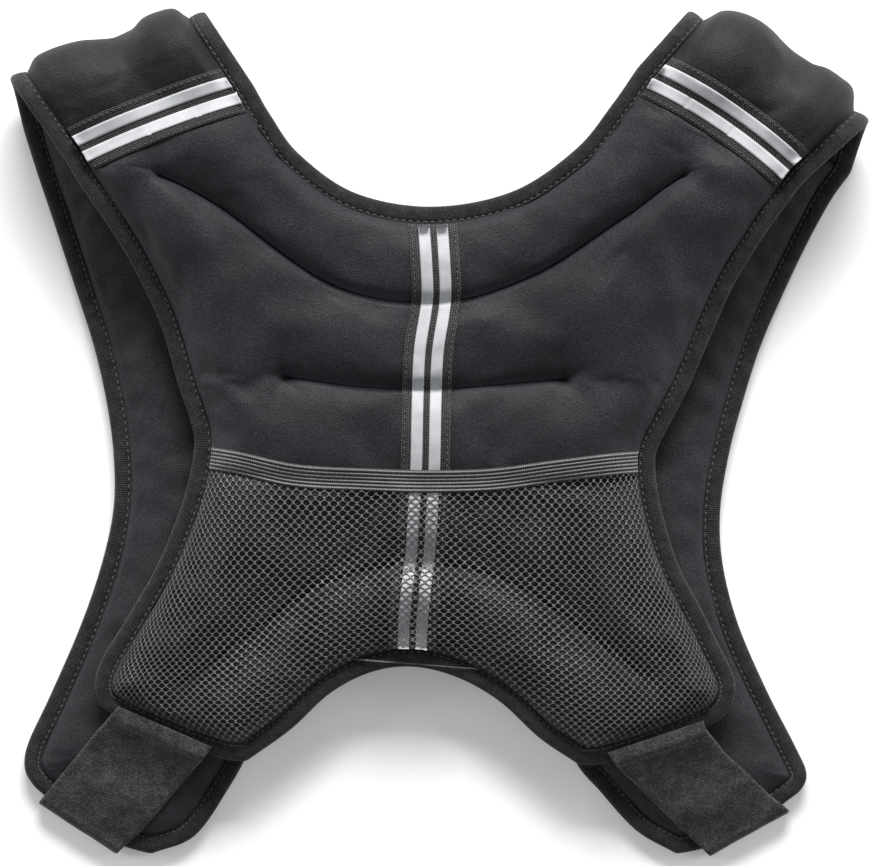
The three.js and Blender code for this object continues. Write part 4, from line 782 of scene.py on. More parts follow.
back_top, back_under = swelled(back_top, back_under, held, np.maximum(held, 0.6), 3.2)
back_panel = shell("back_panel_padded", back_top, back_under, back_plan[..., :2], NEOPRENE)
declare(back_panel, "neoprene", "back_panel")

# Front panels
SOFT_CAP = 2.2
fronts = {}
for side, label in SIDES:
    S, R = np.meshgrid(crowded(66, 0.9, 0.017, 0.983), np.linspace(0, 13.86, 210))
    p = front_point(side, S, R)
    x, y = p[..., 0], p[..., 1]
    d, edge_height, along = nearest(x, y, FRONT_CHAINS[side])
    end = line_of(lambda s: front_point(side, s, 0 * s + FRONT_ROWS), 0, 1, 12)
    start = front_point(side, np.array([0.0, 1.0]), np.zeros(2))
    end_d, start_d = nearest(x, y, end)[0], nearest(x, y, start)[0]
    base = mix(edge_height, p[..., 2], smooth((d - PUFF_START - 0.5) / 14))
    fill = swell(d - PUFF_START, FRONT_REACH) * swell(start_d - 1, FRONT_REACH)
    uneven = 0.42 * waves(x, y, 30, 11 + side) + 0.06 * waves(x, y, 10, 12 + side)
    soft = smooth((d - PUFF_START) / 6) * uneven
    pleat = pleats(along, 15, 1.5, 43) * bump(d - PUFF_START - 5, 5.5) * 0.1
    top = base + lip_half(d) + FRONT_TOP_FILL * fill + soft + pleat
    flat = smooth((d - PUFF_START) / REST_RISE) * smooth((end_d - STRAP_UNDER - 14) / 14)
    low = mix(base - lip_half(d), 0.0, flat)
    held = 1 - smooth((d - PUFF_START) / 6) * smooth((start_d - 3) / 12)
    upper, lower = swelled(raised(p, top), raised(p, low), held, np.ones_like(held), SOFT_CAP)
    fronts[side] = shell(f"front_panel_{label}_padded", upper, lower, p[..., :2], NEOPRENE)
    declare(fronts[side], "neoprene", f"front_panel_{label}")

# Shoulder pads
FLOOR_GAP, STEP = 0.02, 0.006
pads = {}
for side, label in SIDES:
    S, A = np.meshgrid(crowded(100, 0.84, 0.016, 0.984), np.linspace(0, 1, 122))
    p, total = pad_point(side, S, A)
    over = pad_point(side, np.clip(S + STEP, 0, 1), A)[0] - pad_point(side, np.clip(S - STEP, 0, 1), A)[0]
    way = pad_point(side, S, np.clip(A + STEP, 0, 1))[0] - pad_point(side, S, np.clip(A - STEP, 0, 1))[0]
    way = unit(way)
    n = unit(np.cross(over, way)) * side
    rib = pad_point(side, np.ones_like(A), A)[0] - pad_point(side, np.zeros_like(A), A)[0]
    width = np.linalg.norm(rib - (rib * way).sum(-1, keepdims=True) * way, axis=-1)
    d = np.minimum(S, 1 - S) * width
    run, across, end_d = A * total, S * width, np.minimum(A, 1 - A) * total
    ends = swell(end_d - 1, PAD_END_REACH)
    humps = np.maximum(0, curve(PAD_FILL, S)[..., 0 if side < 0 else 1])
    soft = 0.4 * waves(run, across, 20, 21 + side) + 0.06 * waves(run, across, 8, 23 + side)
    crease = pleats(run, 12, 1.3, 29) * bump(d - PUFF_START - 4, 5) * 0.12
    rise = humps * swell(d - PUFF_START, PAD_SIDE_REACH) + smooth((d - PUFF_START) / 6) * soft + crease
    drop = PAD_UNDER_FILL * swell(d - PUFF_START, PAD_UNDER_REACH)
    outside = p + n * (lip_half(d) + rise * ends)[..., None]
    outside[..., 2] = np.maximum(outside[..., 2], FLOOR_GAP)
    inside = p - n * (lip_half(d) + drop * ends)[..., None]
    held = 1 - smooth((d - PUFF_START) / 5) * smooth((end_d - 3) / 12)
    outside, inside = swelled(outside, inside, held, np.maximum(held, 0.6), SOFT_CAP)
    outside[..., 2] = np.maximum(outside[..., 2], FLOOR_GAP)
    pads[side] = shell(f"shoulder_pad_{label}_padded", outside, inside, np.stack([across, run], -1),
                       PAD_NEOPRENE_PAINTED_SHADE)
    declare(pads[side], "neoprene", f"shoulder_pad_{label}")


# Bindings
def chain_part(fn, inner, a, b, count, flat=True):
    """Edge points with the points inward of them, and whether the tape lies level there."""
    t = np.linspace(a, b, count)
    p, q = fn(t), inner(t)
    if flat:
        q = np.stack([q[:, 0], q[:, 1], p[:, 2]], -1)
    return np.concatenate([p, unit(q - p), np.full((count, 1), float(flat))], 1)


def back_side(side, a, b, count):
    return chain_part(lambda v: back_point(0 * v + side, v),
                      lambda v: back_point(0 * v + side * 0.96, v), a, b, count)


def back_row(v, inner, count):
    return chain_part(lambda u: back_point(u, 0 * u + v),
                      lambda u: back_point(u * 0.98, 0 * u + inner), -1, 1, count)


def pad_side(side, share):
    return chain_part(lambda t: pad_point(side, 0 * t + share, t)[0],
                      lambda t: pad_point(side, 0 * t + mix(share, 0.5, 0.2), t)[0], 0.03, 0.985, 70, False)


def front_side(side, share, a, b, count):
    deepest = FRONT_ROWS - 2 if share > 0.5 else FRONT_ROWS
    return chain_part(lambda r: front_point(side, 0 * r + share, r),
                      lambda r: front_point(side, 0 * r + mix(share, 0.5, 0.1), np.minimum(r, deepest)),
                      a, b, count)


def front_end(side, count):
    return chain_part(lambda s: front_point(side, s, 0 * s + FRONT_ROWS),
                      lambda s: front_point(side, mix(s, 0.5, 0.3), 0 * s + FRONT_ROWS - 2), 1, 0, count)


# Section of the folded tape: share of its width from the fold inward, and height either side
OUTER_HALF = np.array([
    [1.0, 1.45], [1.005, 1.95], [0.985, 2.2], [0.945, 2.34], [0.905, 2.24], [0.875, 1.98], [0.845, 2.02],
    [0.815, 2.34], [0.76, 2.58], [0.66, 2.74], [0.5, 2.84], [0.34, 2.80], [0.2, 2.58], [0.09, 2.08],
    [0.025, 1.25], [0.0, 0.42]])
INNER_FACE = [[0.5, -1.35], [0.14, -1.0], [0.14, 1.0], [0.5, 1.35]]
SECTION = np.concatenate([OUTER_HALF, OUTER_HALF[::-1] * [1, -1], INNER_FACE])
STITCH_AT, TAPE_STEP, TURN_SHARE, NARROWEST = 0.86, 1.6, 0.80, 4.4


def build_binding(name, chain, node, seed):
    """Folded tape swept along edge points, narrower in tight turns, with stitches on both faces."""
    raw = np.concatenate(chain)
    raw = raw[np.concatenate([[True], np.linalg.norm(np.diff(raw[:, :3], axis=0), axis=1) > 0.25])]
    along = run_of(raw[:, :3])
    run = np.linspace(0, along[-1], int(along[-1] / TAPE_STEP) + 1)
    path = sample(run, along, raw)
    p, n, flat = path[:, :3], unit(path[:, 3:6]), path[:, 6:7]
    tangent = unit(np.gradient(p, axis=0))
    for _ in range(3):
        tangent = unit(softened(tangent))
    level = unit(tangent * [1, 1, 0])
    square_flat = unit(n - (n * level).sum(-1, keepdims=True) * level)
    square_rule = n - (n * tangent).sum(-1, keepdims=True) * tangent
    ruled = n / np.maximum(np.linalg.norm(square_rule, axis=-1, keepdims=True), 0.4)
    side = square_flat * flat + ruled * (1 - flat)
    for _ in range(4):
        side = softened(side)
    turn = np.zeros(len(p))
    turn[3:-3] = ((tangent[6:] - tangent[:-6]) * side[3:-3]).sum(-1) / (run[6:] - run[:-6])
    tight = np.clip(TURN_SHARE / np.maximum(turn, 1e-4), NARROWEST, BINDING_WIDTH)
    width = np.where(turn > 1e-4, tight, BINDING_WIDTH)
    for _ in range(30):
        width[1:-1] = np.minimum(width[1:-1], (width[:-2] + width[2:]) / 2 + 0.02)
    width = 0.88 * width * (1 + 0.025 * np.sin(run / 21 + seed) + 0.018 * np.sin(run / 7.7))
    up = unit(np.cross(tangent, side))
    puff = 1 + 0.05 * np.sin(run / 5.3 + seed) + 0.05 * np.sin(run / 11.9)
    a, b = SECTION.T
    lift = b * np.where(np.abs(b) > 1.9, puff[:, None], 1)
    rings = p[:, None] + side[:, None] * (a * width[:, None])[..., None] + up[:, None] * lift[..., None]
    uv = np.stack(np.broadcast_arrays(run[:, None], run_of(SECTION * [10, 1])), -1)
    o = declare(tube(name, rings, uv, BINDING), "binding_tape", node)
    places = []
    at = np.arange(4, run[-1] - 4, 3.5)
    for sign in (1, -1):
        line = p + side * (STITCH_AT * width)[:, None] + up * (sign * 2.06 * puff)[:, None]
        w, v = unit(sample(at, run, tangent)), unit(sample(at, run, up)) * sign
        places.append(np.concatenate([sample(at, run, line), w, v], 1))
    stitches(name + "_stitches", places, 2.5, 0.34, "binding_tape")
    return o


def stitches(name, places, length, radius, slot):
    """Short sunk threads: each place is a centre, the way it runs and the way up."""
    places = np.concatenate(places)
    c, w, v = places[:, :3], unit(places[:, 3:6]), unit(places[:, 6:9])
    s = unit(np.cross(w, v))
    along = np.array([-0.5, -0.36, 0.0, 0.36, 0.5]) * length
    lift = np.array([-0.34, 0.02, 0.16, 0.02, -0.34])
    thick = np.array([0.45, 0.95, 1.0, 0.95, 0.45]) * radius
    rings, k = len(along), 6
    angle = np.arange(k) * 2 * math.pi / k
    up = lift[:, None] + thick[:, None] * np.sin(angle)
    out = thick[:, None] * np.cos(angle) * 1.15
    pts = (c[:, None, None] + w[:, None, None] * along[:, None, None]
           + v[:, None, None] * up[..., None] + s[:, None, None] * out[..., None])
    uv = np.stack(np.broadcast_arrays(along[:, None] + c[:, 0, None, None], radius * angle), -1)
    caps = np.array([[0, 1, 2, 3], [0, 3, 4, 5]])
    quads = np.concatenate([grid_quads(rings, k, closed=True), caps, caps[:, ::-1] + (rings - 1) * k])
    first = np.arange(len(c))[:, None, None] * rings * k
    declare(make(name, pts, (quads + first).reshape(-1, 4), uv=uv, material=STITCH), slot)


def stitch_places(line, up, first, last, gap):
    """Places for stitches at even steps along a line, from its start to its end less a margin."""
    run = run_of(line)
    at = np.arange(first, run[-1] - last, gap)
    w, v = unit(sample(at, run, np.gradient(line, axis=0))), sample(at, run, up)
    return np.concatenate([sample(at, run, line), w, unit(v - (v * w).sum(-1, keepdims=True) * w)], 1)


bindings = [build_binding("binding_neck_folded", [
    front_side(-1, 0, 0.1, 10.95, 160)[::-1], pad_side(-1, 0)[::-1], back_row(0, 0.2, 140),
    pad_side(1, 0), front_side(1, 0, 0.1, 10.95, 160)], "binding_neck", 0)]
for side, label in SIDES:
    bindings.append(build_binding(f"binding_armhole_{label}_folded", [
        back_side(side, 1.02, 4.44, 200)[::-1], pad_side(side, 1), front_side(side, 1, 0.1, 13.9, 220),
        front_end(side, 50), front_side(side, 0, 11.02, 13.9, 60)[::-1]],
        f"binding_armhole_{label}", 1 + side))
bindings.append(build_binding("binding_arch_folded", [
    back_side(-1, 4.44, 4.97, 40), back_row(5, 4.8, 140), back_side(1, 4.44, 4.97, 40)[::-1]],
    "binding_arch", 5))


# Strips of webbing and tape
def strip_plan(line, width, offset, columns, rows, start, end):
    """Plan of a strip along a line, its two ends cut where it meets the bindings."""
    t = np.linspace(0, 1, 600)
    p = line(t)[:, :2]
    w = unit(np.gradient(p, axis=0))
    n = np.stack([-w[:, 1], w[:, 0]], -1)
    run = run_of(p)
    out = []
    for d in np.linspace(offset - width / 2, offset + width / 2, columns):
        q = p + n * d
        clear_of = np.minimum(*(nearest(q[:, 0], q[:, 1], chain)[0] for chain in (start, end)))
        inside = np.flatnonzero(clear_of > BINDING_WIDTH - TUCK)
        s = np.linspace(t[inside[0]], t[inside[-1]], rows)
        out.append(sample(s, t, np.column_stack([q, run])))
    return np.stack(out, 1)


# Gap, thickness, width, drop of the long edges and slot of each kind of strip
TUCK = 0.6
WEB_STRIP = (0.15, 1.1, WEBBING_WIDTH, 0.35, "webbing")
TAPE_STRIP = (0.08, 0.35, TAPE_WIDTH, 0.12, "reflective_tape")


def laid(node, finish, plan, below, kind, material, rounds, profile, fallback=np.median):
    """Strip over what is below, its long edges rounded over; the fallback stands in where nothing is below."""
    gap, thick, across, edge_drop, slot = kind
    low = heights(below, plan)
    low = np.where(low < 0, fallback(low), low)
    z = settle(low + gap, rounds)
    s = np.linspace(0, 1, plan.shape[1])
    top = raised(plan, z + thick + profile - edge_drop * (1 - swell(np.minimum(s, 1 - s) * across, 0.9)))
    uv = np.stack([np.broadcast_to(s * across, z.shape), plan[..., 2]], -1)
    return declare(shell(f"{node}_{finish}", top, raised(plan, z), uv, material), slot, node), top


def edge_stitches(node, top):
    """Two rows of stitches along a webbing, near its long edges."""
    rows = [mix(top[:, k], top[:, k + 1], share) for k, share in ((1, 0.1), (16, 0.9))]
    up = np.tile([0.0, 0.0, 1.0], (len(top), 1))
    stitches(f"{node}_stitches", [stitch_places(row, up, 1.6, 1.2, 3.2) for row in rows], 2.2, 0.28, "webbing")


centre_table = [[-y, x] for y, x in CENTRE_WEBBING]


def centre_line(t):
    y = mix(0.775, 0.205, t)
    x = curve(centre_table, np.clip(-y, centre_table[0][0], centre_table[-1][0]))[..., 0]
    return np.stack([mm_x(x), mm_y(y)], -1)


def rough_edge(plan, seed, size=0.16):
    """Slight unevenness of a strip's long edges."""
    q = plan.copy()
    for k, sign in ((0, -1), (-1, 1)):
        q[:, k, 0] += sign * size * waves(plan[:, k, 2], plan[:, k, 2] * 0 + k, 9, seed + k + 3)
    return q


def pinch(plan, depth, reach):
    """Groove where a sewn seam crosses under a strip."""
    d = np.min([nearest(plan[..., 0], plan[..., 1], c)[0] for c in SEAM_CHAINS], axis=0)
    return -depth * bump(d, reach)


plan = rough_edge(strip_plan(centre_line, WEBBING_WIDTH, 0, 19, 260, NECK_CHAIN, ARCH_CHAIN), 31)
uneven = 0.10 * waves(plan[..., 0], plan[..., 1], 5, 33)
back_webbing, top = laid("back_webbing", "woven", plan, tree([back_panel]), WEB_STRIP, WEBBING, 20,
                         uneven + pinch(plan, 1.5, 1.3))
tapes, over = [], tree([back_webbing])
for side, label in SIDES:
    plan = strip_plan(centre_line, TAPE_WIDTH, -side * TAPE_OFFSET, 7, 380, NECK_CHAIN, ARCH_CHAIN)
    tapes.append(laid(f"back_tape_{label}", "reflective", plan, over, TAPE_STRIP, REFLECTIVE, 1,
                      pinch(plan, 0.5, 0.7), np.max)[0])
edge_stitches("back_webbing", top)

TAPE_CREASES = (31.0, 58.0)
shoulder_below = tree([back_panel, pads[-1], pads[1]])
for side, label in SIDES:
    t = np.linspace(0.5, 0, 9)
    inner = np.concatenate([pad_point(side, 0 * t, t)[0], back_point(np.linspace(side, 0, 17), np.zeros(17))])
    outer = np.concatenate([pad_point(side, 0 * t + 1, t)[0],
                            back_point(np.full(25, float(side)), np.linspace(1, 2, 25))])

    def seam(t, side=side):
        """The shoulder seam, bowed a little toward the pad."""
        p = back_point(np.full(np.shape(t), float(side)), t)[..., :2]
        chord = p[-1] - p[0]
        up = np.array([-chord[1], chord[0]]) * (1 if chord[0] > 0 else -1) / np.linalg.norm(chord)
        return p + up * ((2.4 if side < 0 else 4.6) * 4 * t * (1 - t))[:, None]
    node = f"shoulder_webbing_{label}"
    plan = rough_edge(strip_plan(seam, WEBBING_WIDTH, 0, 19, 90, inner, outer), 41 + side)
    o, top = laid(node, "woven", plan, shoulder_below, WEB_STRIP, SHOULDER_WEBBING, 30,
                  0.10 * waves(plan[..., 0], plan[..., 1], 5, 43))
    edge_stitches(node, top)
    over = tree([o])
    for k, place, depth in ((-1, "lower", 0.35), (1, "upper", 0.105)):
        plan = strip_plan(seam, TAPE_WIDTH, k * TAPE_OFFSET * side, 7, 90, inner, outer)
        crease = -depth * sum(bump(plan[..., 2] - c, 1.0) for c in TAPE_CREASES)
        laid(f"shoulder_tape_{place}_{label}", "reflective", plan, over, TAPE_STRIP, REFLECTIVE, 6, crease)

# Pocket: ribbed hem band and net
across_keys, down_keys = np.linspace(-1, 1, 321), np.linspace(2.4, 5, 400)
grid = back_point(*np.meshgrid(across_keys, down_keys, indexing="ij"))
top_y = mm_y(curve(POCKET_TOP, across_keys)[..., 0])
low_keys = down_keys > 4.2
arch_d = nearest(grid[..., 0], grid[..., 1], ARCH_CHAIN)[0][:, low_keys]
arch_v = np.array([np.interp(1.0 - BINDING_WIDTH, -d, down_keys[low_keys]) for d in arch_d])


def band_row(drop):
    """Places down the panel, for places across, of the line that far under the pocket's upper edge."""
    v = np.array([np.interp(drop - y, -column, down_keys) for y, column in zip(top_y, grid[..., 1])])
    return lambda u: np.interp(u, across_keys, v)


def net_row(t):
    a = band_row(BAND_HEIGHT - 0.8)(across_keys)
    v = mix(a, np.maximum(arch_v, a + 0.05), t)
    return lambda u: np.interp(u, across_keys, v)


def pocket_grid(row_at, rows, cols):
    """Grid of places across and down between the two side bindings."""
    out = []
    for row in (row_at(t) for t in np.linspace(0, 1, rows)):
        ends = []
        for side in (-1, 1):
            u = np.linspace(side * 0.999, side * 0.7, 160)
            q = back_point(u, row(u))
            ends.append(np.interp(BINDING_WIDTH - 1.0, nearest(q[..., 0], q[..., 1], SIDE_CHAINS[side])[0], u))
        u = np.linspace(*ends, cols)
        out.append(back_point(u, row(u)))
    return np.stack(out)


pocket_below = tree([back_panel, back_webbing, *tapes])
HEM_ROWS, HEM_RIBS, HEM_MARGIN = 47, 6, 0.02
hem_plan = pocket_grid(lambda t: band_row(BAND_HEIGHT * t), HEM_ROWS, 240)
low = heights(pocket_below, hem_plan)
hem_z = settle(np.where(low < 0, edge_z.min(), low) + REST_GAP, 150)
t = np.linspace(0, 1, HEM_ROWS)[:, None]
rib_at = (t - HEM_MARGIN) / (1 - 2 * HEM_MARGIN)
ribs = 0.5 - 0.5 * np.cos(2 * math.pi * HEM_RIBS * np.clip(rib_at, 0, 1))
hem_run = run_of(hem_plan[..., :2].swapaxes(0, 1)).T
hem_top = hem_z + 0.6 + 1.15 * ribs ** 1.2 + 0.05 * np.sin(hem_run * 2 * math.pi / 1.4)
hem_top = hem_top - 0.5 * (1 - swell(np.minimum(t, 1 - t) * BAND_HEIGHT, 0.7))
# This first coordinate puts the hem material's rib stripes in step with the ridges, so its painted groove
# shade lies in the grooves
hem_uv = np.stack(np.broadcast_arrays((HEM_RIBS * rib_at - 0.25) * 2, hem_run), -1)
hem = shell("pocket_band_ribbed", raised(hem_plan, hem_top), raised(hem_plan, hem_z), hem_uv, HEM)
declare(hem, "elastic", "pocket_band")

# Net surface: drawn tight from the band to the bindings, held up by what is under it
net_plan = pocket_grid(net_row, 90, 170)
net_low = heights(pocket_below, net_plan)
net_low = np.where(net_low < 0, 24.0, net_low)
net_z = settle(net_low + REST_GAP, 200)
outline = rim_of(net_plan[..., :2])


def inside_outline(x, y):
    hit = np.zeros(x.shape, bool)
    for (a, b), (c, d) in zip(outline, np.roll(outline, -1, axis=0)):
        if b != d:
            hit ^= ((b > y) != (d > y)) & (x < (c - a) * (y - b) / (d - b) + a)
    return hit


def outline_clamp(p):
    """Points beyond the outline drawn back onto it."""
    out = ~inside_outline(p[:, 0], p[:, 1])
    if out.any():
        q = p[out]
        best, place = np.full(len(q), np.inf), q.copy()
        for a, b in zip(outline, np.roll(outline, -1, axis=0)):
            d = b - a
            t = np.clip(((q - a) @ d) / max(float(d @ d), 1e-9), 0, 1)
            r = a + d * t[:, None]
            e = np.linalg.norm(q - r, axis=1)
            hit = e < best
            best[hit], place[hit] = e[hit], r[hit]
        p = p.copy()
        p[out] = place
    return p

def between(near_near, far_near, near_far, far_far, a, b):
    """Value between four corners, a of the way along the first axis and b along the second."""
    return mix(mix(near_near, far_near, a), mix(near_far, far_far, a), b)


class Field:
    """Smooth height over the plan from the net grid, by a raster of 1 mm cells."""

    def __init__(self, z):
        x, y = net_plan[..., 0], net_plan[..., 1]
        self.x0, self.y0 = x.min() - 3, y.min() - 3
        size = int(x.max() - self.x0 + 6), int(y.max() - self.y0 + 6)
        total, weight = np.zeros(size), np.zeros(size)
        # Fine resampling of the grid so that no cell stays empty
        for a in np.linspace(0, 1, 4, endpoint=False):
            for b in np.linspace(0, 1, 4, endpoint=False):
                px, py, pz = (between(g[:-1, :-1], g[1:, :-1], g[:-1, 1:], g[1:, 1:], a, b).ravel()
                              for g in (x, y, z))
                i, j = (px - self.x0 + 0.5).astype(int), (py - self.y0 + 0.5).astype(int)
                np.add.at(total, (i, j), pz)
                np.add.at(weight, (i, j), 1)
        known = weight > 0
        g = np.where(known, total / np.maximum(weight, 1), 0)
        for _ in range(12):
            count, value = (sum(np.roll(f, s, ax) for s in (1, -1) for ax in (0, 1))
                            for f in (known.astype(float), np.where(known, g, 0)))
            grow = (~known) & (count > 0)
            g = np.where(grow, value / np.maximum(count, 1), g)
            known = known | grow
        self.g = g

    def __call__(self, x, y):
        g = self.g
        a, b = np.clip(x - self.x0, 0, g.shape[0] - 2), np.clip(y - self.y0, 0, g.shape[1] - 2)
        i, j = a.astype(int), b.astype(int)
        return between(g[i, j], g[i + 1, j], g[i, j + 1], g[i + 1, j + 1], a - i, b - j)


net_height, net_gap = Field(net_z), Field(net_z - net_low)


def ripple(x, y):
    """Tension folds that run from the middle of the band down and out, where the net spans free."""
    across = np.abs(x + 4) * 0.66 + y * 0.75
    wave = np.sin(across * 2 * math.pi / 15 + 1.2 * waves(x, y, 40, 57))
    return 0.55 * wave * smooth((net_gap(x, y) - 0.4) / 2.5)


PITCH_X, PITCH_Y, FIRST_ROW_Y, KNOT = 4.15, 4.2, -60, 0.42


def warp(x, y):
    """The net is drawn together toward its sides, its rows bend round the arch, and it is uneven."""
    left, right = (np.interp(-y, -net_plan[:, k, 1], net_plan[:, k, 0]) for k in (0, -1))
    middle, half_width = (left + right) / 2, (right - left) / 2
    q = (x - middle) / half_width
    x2 = middle + half_width * (q + 0.12 * (q - q ** 5))
    bend = smooth((-y - 25) / 90)
    y2 = y + bend * 9 * (np.exp(-((x - middle) / 55) ** 2) - 0.5)
    down = (-y2 - 20) / 145
    y2 = np.where(down > 0, -20 - 145 * (1.13 * down - 0.13 * down ** 2), y2)
    dx = 1.3 * waves(x, y, 30, 51) + 0.5 * waves(x, y, 13, 52)
    dy = 1.3 * waves(x, y, 30, 53) + 0.5 * waves(x, y, 13, 54)
    return np.where(np.abs(q) < 1.12, x2 + dx, 999.0), y2 + dy


i, j = np.meshgrid(np.arange(-80, 81), np.arange(-70, 71), indexing="ij")
odd = (i + j) % 2 == 0
cx, cy = i[odd] * PITCH_X / 2, FIRST_ROW_Y + j[odd] * PITCH_Y / 2
near = inside_outline(*warp(cx, cy))
cx, cy = cx[near], cy[near]
# Rings of a cell, from the yarn's centre line to the rim of the hole, each with its lift
half = np.array([PITCH_X / 2, PITCH_Y / 2])
quarter = [(half[0], 0), (half[0], KNOT), (half[0] / 2, half[1] / 2), (0, half[1] - KNOT)]
cell = np.array(quarter + [(-a, b) for a, b in quarter[2:0:-1]] + [(-a, -b) for a, b in quarter]
                + [(a, -b) for a, b in quarter[2:0:-1]])
hole_half = np.array([half[0] - 0.62, half[1] - KNOT - 0.40])
hole = unit(cell / hole_half) * hole_half
pts, uvs = [], []
for shape, lift in ((cell, 0.50), ((hole + cell) / 2, 0.36), (hole, -0.12)):
    x, y = cx[:, None] + shape[:, 0], cy[:, None] + shape[:, 1]
    plan = outline_clamp(np.stack(warp(x, y), -1).reshape(-1, 2)).reshape(*x.shape, 2)
    place = plan[..., 0], plan[..., 1]
    pts.append(raised(plan, net_height(*place) + lift + ripple(*place)))
    uvs.append(np.stack([x, y], -1))
steps = len(cell)
quads = grid_quads(len(pts), steps, closed=True) + np.arange(len(cx))[:, None, None] * len(pts) * steps
net = make("mesh_pocket_net", np.stack(pts, 1), quads.reshape(-1, 4), uv=np.stack(uvs, 1), material=NET_YARN)
bm = bmesh.new()
bm.from_mesh(net.data)
bmesh.ops.remove_doubles(bm, verts=bm.verts, dist=0.00004)
bmesh.ops.recalc_face_normals(bm, faces=bm.faces)
bm.to_mesh(net.data)
bm.free()
declare(net, "net", "mesh_pocket")

# Side straps
STRAP_COLS, STRAP_WIDTH, SEARCH = 44, 50, 500
lower_tree = tree([back_panel, fronts[-1], fronts[1], *bindings])
for side, label in SIDES:
    table = np.array(STRAPS[side], float)
    shares, keys = np.linspace(0, 1, STRAP_COLS), np.arange(len(table))
    dense = np.linspace(0, len(table) - 2, 60)
    laid_xy = rib_point(curve(np.column_stack([keys, table]), dense).T[..., None], shares)
    a = rib_point(table[-2], shares)
    way = unit(rib_point(table[-1], shares) - a)
    # The front panel's edge, where the strap turns under, as a straight line
    edge = []
    for start, w in zip(a, way):
        q = start + w * np.linspace(0, 60, 600)[:SEARCH, None]
        edge.append(q[nearest(q[:, 0], q[:, 1], FRONT_CHAINS[side])[0].argmin()])
    slope = np.polyfit(shares, np.array(edge), 1)
    edge = shares[:, None] * slope[0] + slope[1]
    more = mix(laid_xy[-1], edge - way * 2, np.linspace(0, 1, 26)[1:, None, None])
    laid_xy = np.concatenate([laid_xy, more])
    floor_z = np.concatenate([np.interp(dense, keys, table[:, 4]), np.zeros(len(more))])[:, None]
    ridge = TURN_Z + TURN_RADIUS
    low = np.maximum(heights(lower_tree, laid_xy), floor_z)
    low = np.where(low < 1, 8.0, low)
    low[-3:] = ridge
    # Rows at even steps before the strap is drawn taut, so that it runs straight down to the turn
    steps = run_of(laid_xy[:, STRAP_COLS // 2])
    even = np.linspace(0, steps[-1], len(steps))
    laid_xy = sample(even, steps, laid_xy.reshape(len(steps), -1)).reshape(laid_xy.shape)
    z = settle(sample(even, steps, low) + REST_GAP, 300)
    z = z + (ridge - z[-1:]) * smooth(np.linspace(-7, 1, len(z)))[:, None]
    angle = np.linspace(math.pi / 2, -math.pi / 2, 15)
    under = np.linspace(-3, -STRAP_UNDER, 22)
    out = np.concatenate([TURN_IN + np.cos(angle) * TURN_RADIUS, under])
    lift = np.concatenate([TURN_Z + np.sin(angle) * TURN_RADIUS, 0 * under + TURN_Z - TURN_RADIUS])
    inner = np.concatenate([raised(laid_xy, z), raised(edge + way * out[:, None, None], lift[:, None])])
    n = unit(np.cross(np.gradient(inner, axis=0), np.gradient(inner, axis=1)))
    n = n * np.sign(n[0, STRAP_COLS // 2, 2])
    for _ in range(3):
        n = unit(softened(n))
    run, across = run_of(inner), shares * STRAP_WIDTH
    rim = np.minimum(across, STRAP_WIDTH - across)
    cords = 0.10 + 0.16 * waves(run, across + 0 * run, 14, 61 + side)
    # The rear end is turned over and sewn down: a second layer 9 mm long
    fold = 1.0 * smooth((9.5 - run) / 1.2) - 0.45 * bump(run - 8.2, 0.6) - 0.55 * (1 - swell(run, 1.0))
    thick = np.maximum(ELASTIC_THICK - 0.35 + cords + fold - 0.5 * (1 - swell(rim, 0.8)), REST_GAP)
    outer = inner + n * thick[..., None]
    outer[..., 2] = np.maximum(outer[..., 2], 0.03)
    uv = np.stack(np.broadcast_arrays(across, run), -1)
    declare(shell(f"side_strap_{label}_elastic", outer, inner, uv, ELASTIC), "elastic", f"side_strap_{label}")
    r = int(np.searchsorted(run[:, STRAP_COLS // 2], 8.0))
    places = stitch_places(outer[r], n[r], 1.5, 1, 3.0)
    stitches(f"side_strap_{label}_stitches", [places], 2.1, 0.28, "elastic")


# Plain closure between the front panels
def node_box(node):
    return [np.array(v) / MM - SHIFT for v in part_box(node)]


for _, label in SIDES:
    a, b = node_box(f"front_webbing_{label}")
    plan = np.stack(np.meshgrid(np.linspace(a[0], b[0], 40), np.linspace(a[1], b[1], 21), indexing="ij"), -1)
    X, Y = plan[..., 0], plan[..., 1]
    rim = np.minimum(Y - a[1], b[1] - Y)
    top = b[2] - 0.3 * (1 - swell(rim, 0.8)) - 0.05 + 0.04 * np.sin(X * 2 * math.pi / 1.2)
    o = shell(f"front_webbing_{label}_woven", raised(plan, top), raised(plan, a[2]),
              np.stack([Y - a[1], X - a[0]], -1), WEBBING)
    declare(o, "webbing", f"front_webbing_{label}")
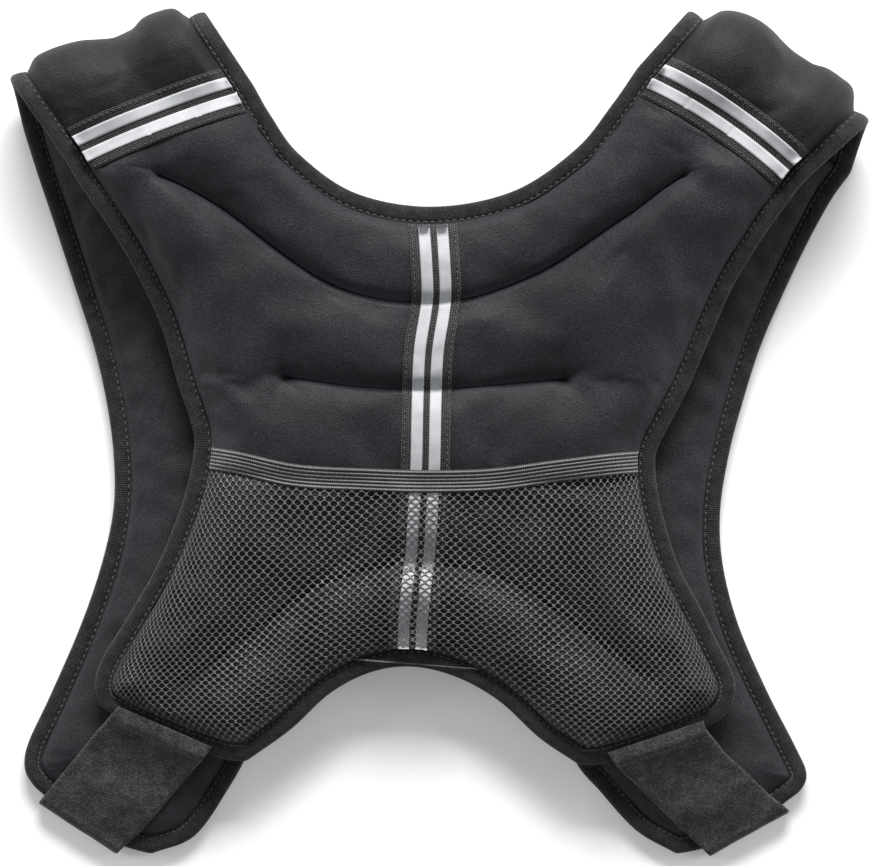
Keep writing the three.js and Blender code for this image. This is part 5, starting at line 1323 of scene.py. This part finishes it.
# Levels of the buckle's rings: height over its base, share of its outline
LEVELS = [(0.0, 0.0), (0.0, 0.90), (0.25, 0.965), (0.9, 1.0), (4.5, 1.0), (8.0, 1.0), (8.75, 0.965),
          (9.0, 0.90), (9.0, 0.74), (8.4, 0.70), (8.4, 0.0)]
ROUNDNESS = 7
lo, hi = node_box("front_buckle")
angle = np.linspace(0, 2 * math.pi, 97)[:-1]
c, s = np.cos(angle), np.sin(angle)
hx, hy = (hi - lo)[:2] / 2
r = (np.abs(c / hx) ** ROUNDNESS + np.abs(s / hy) ** ROUNDNESS) ** (-1 / ROUNDNESS)
ring, middle = np.stack([c * r, s * r], -1), (lo + hi)[:2] / 2
rings = np.stack([raised(ring * share + middle, lo[2] + up) for up, share in LEVELS])
uv = np.stack(np.broadcast_arrays(angle * 20, np.arange(len(LEVELS))[:, None] * 3.0), -1)
declare(tube("front_buckle_moulded", rings, uv, PLASTIC), "buckle_plastic", "front_buckle")

# The net sheet's area laid flat, in square metres
down, across = (net_plan[1:, :-1] - net_plan[:-1, :-1]), (net_plan[:-1, 1:] - net_plan[:-1, :-1])
flat_area = float(np.linalg.norm(np.cross(down, across), axis=-1).sum()) * MM ** 2

# Floor and light, in metres
floor_mesh = bpy.data.meshes.new("floor")
floor_mesh.from_pydata([(-6, -6, 0), (6, -6, 0), (6, 6, 0), (-6, 6, 0)], [], [(0, 1, 2, 3)])
floor = bpy.data.objects.new("floor", floor_mesh)
bpy.context.scene.collection.objects.link(floor)
k = Surface("pale_floor")
for socket, value in (("Base Color", (0.93, 0.93, 0.93, 1)), ("Roughness", 0.9),
                      ("Emission Color", (1, 1, 1, 1)), ("Emission Strength", 0.16)):
    k.put(value, k.inputs[socket])
floor_mesh.materials.append(k.material)
floor.location.z = -0.0002


def lamp(name, place, size, power, colour):
    """Rectangular lamp aimed at the origin."""
    data = bpy.data.lights.new(name, "AREA")
    data.shape = "RECTANGLE"
    data.size, data.size_y = size
    data.energy = power
    data.color = colour
    o = bpy.data.objects.new(name, data)
    bpy.context.scene.collection.objects.link(o)
    o.location = place
    o.rotation_euler = (-Vector(place)).to_track_quat("-Z", "Y").to_euler()


lamp("key", (0.15, 2.2, 1.35), (1.6, 0.8), 112, (1, 0.985, 0.97))
lamp("side_left", (-2.1, 0.35, 0.75), (0.7, 1.3), 17, (1, 0.99, 0.98))
lamp("side_right", (2.1, 0.35, 0.75), (0.7, 1.3), 17, (1, 0.99, 0.98))
world = bpy.data.worlds.new("studio")
bpy.context.scene.world = world
world.use_nodes = True
bg = world.node_tree.nodes["Background"]
bg.inputs[0].default_value = (0.94, 0.97, 1.0, 1)
bg.inputs[1].default_value = 0.27
bpy.context.scene.view_settings.view_transform = "Standard"
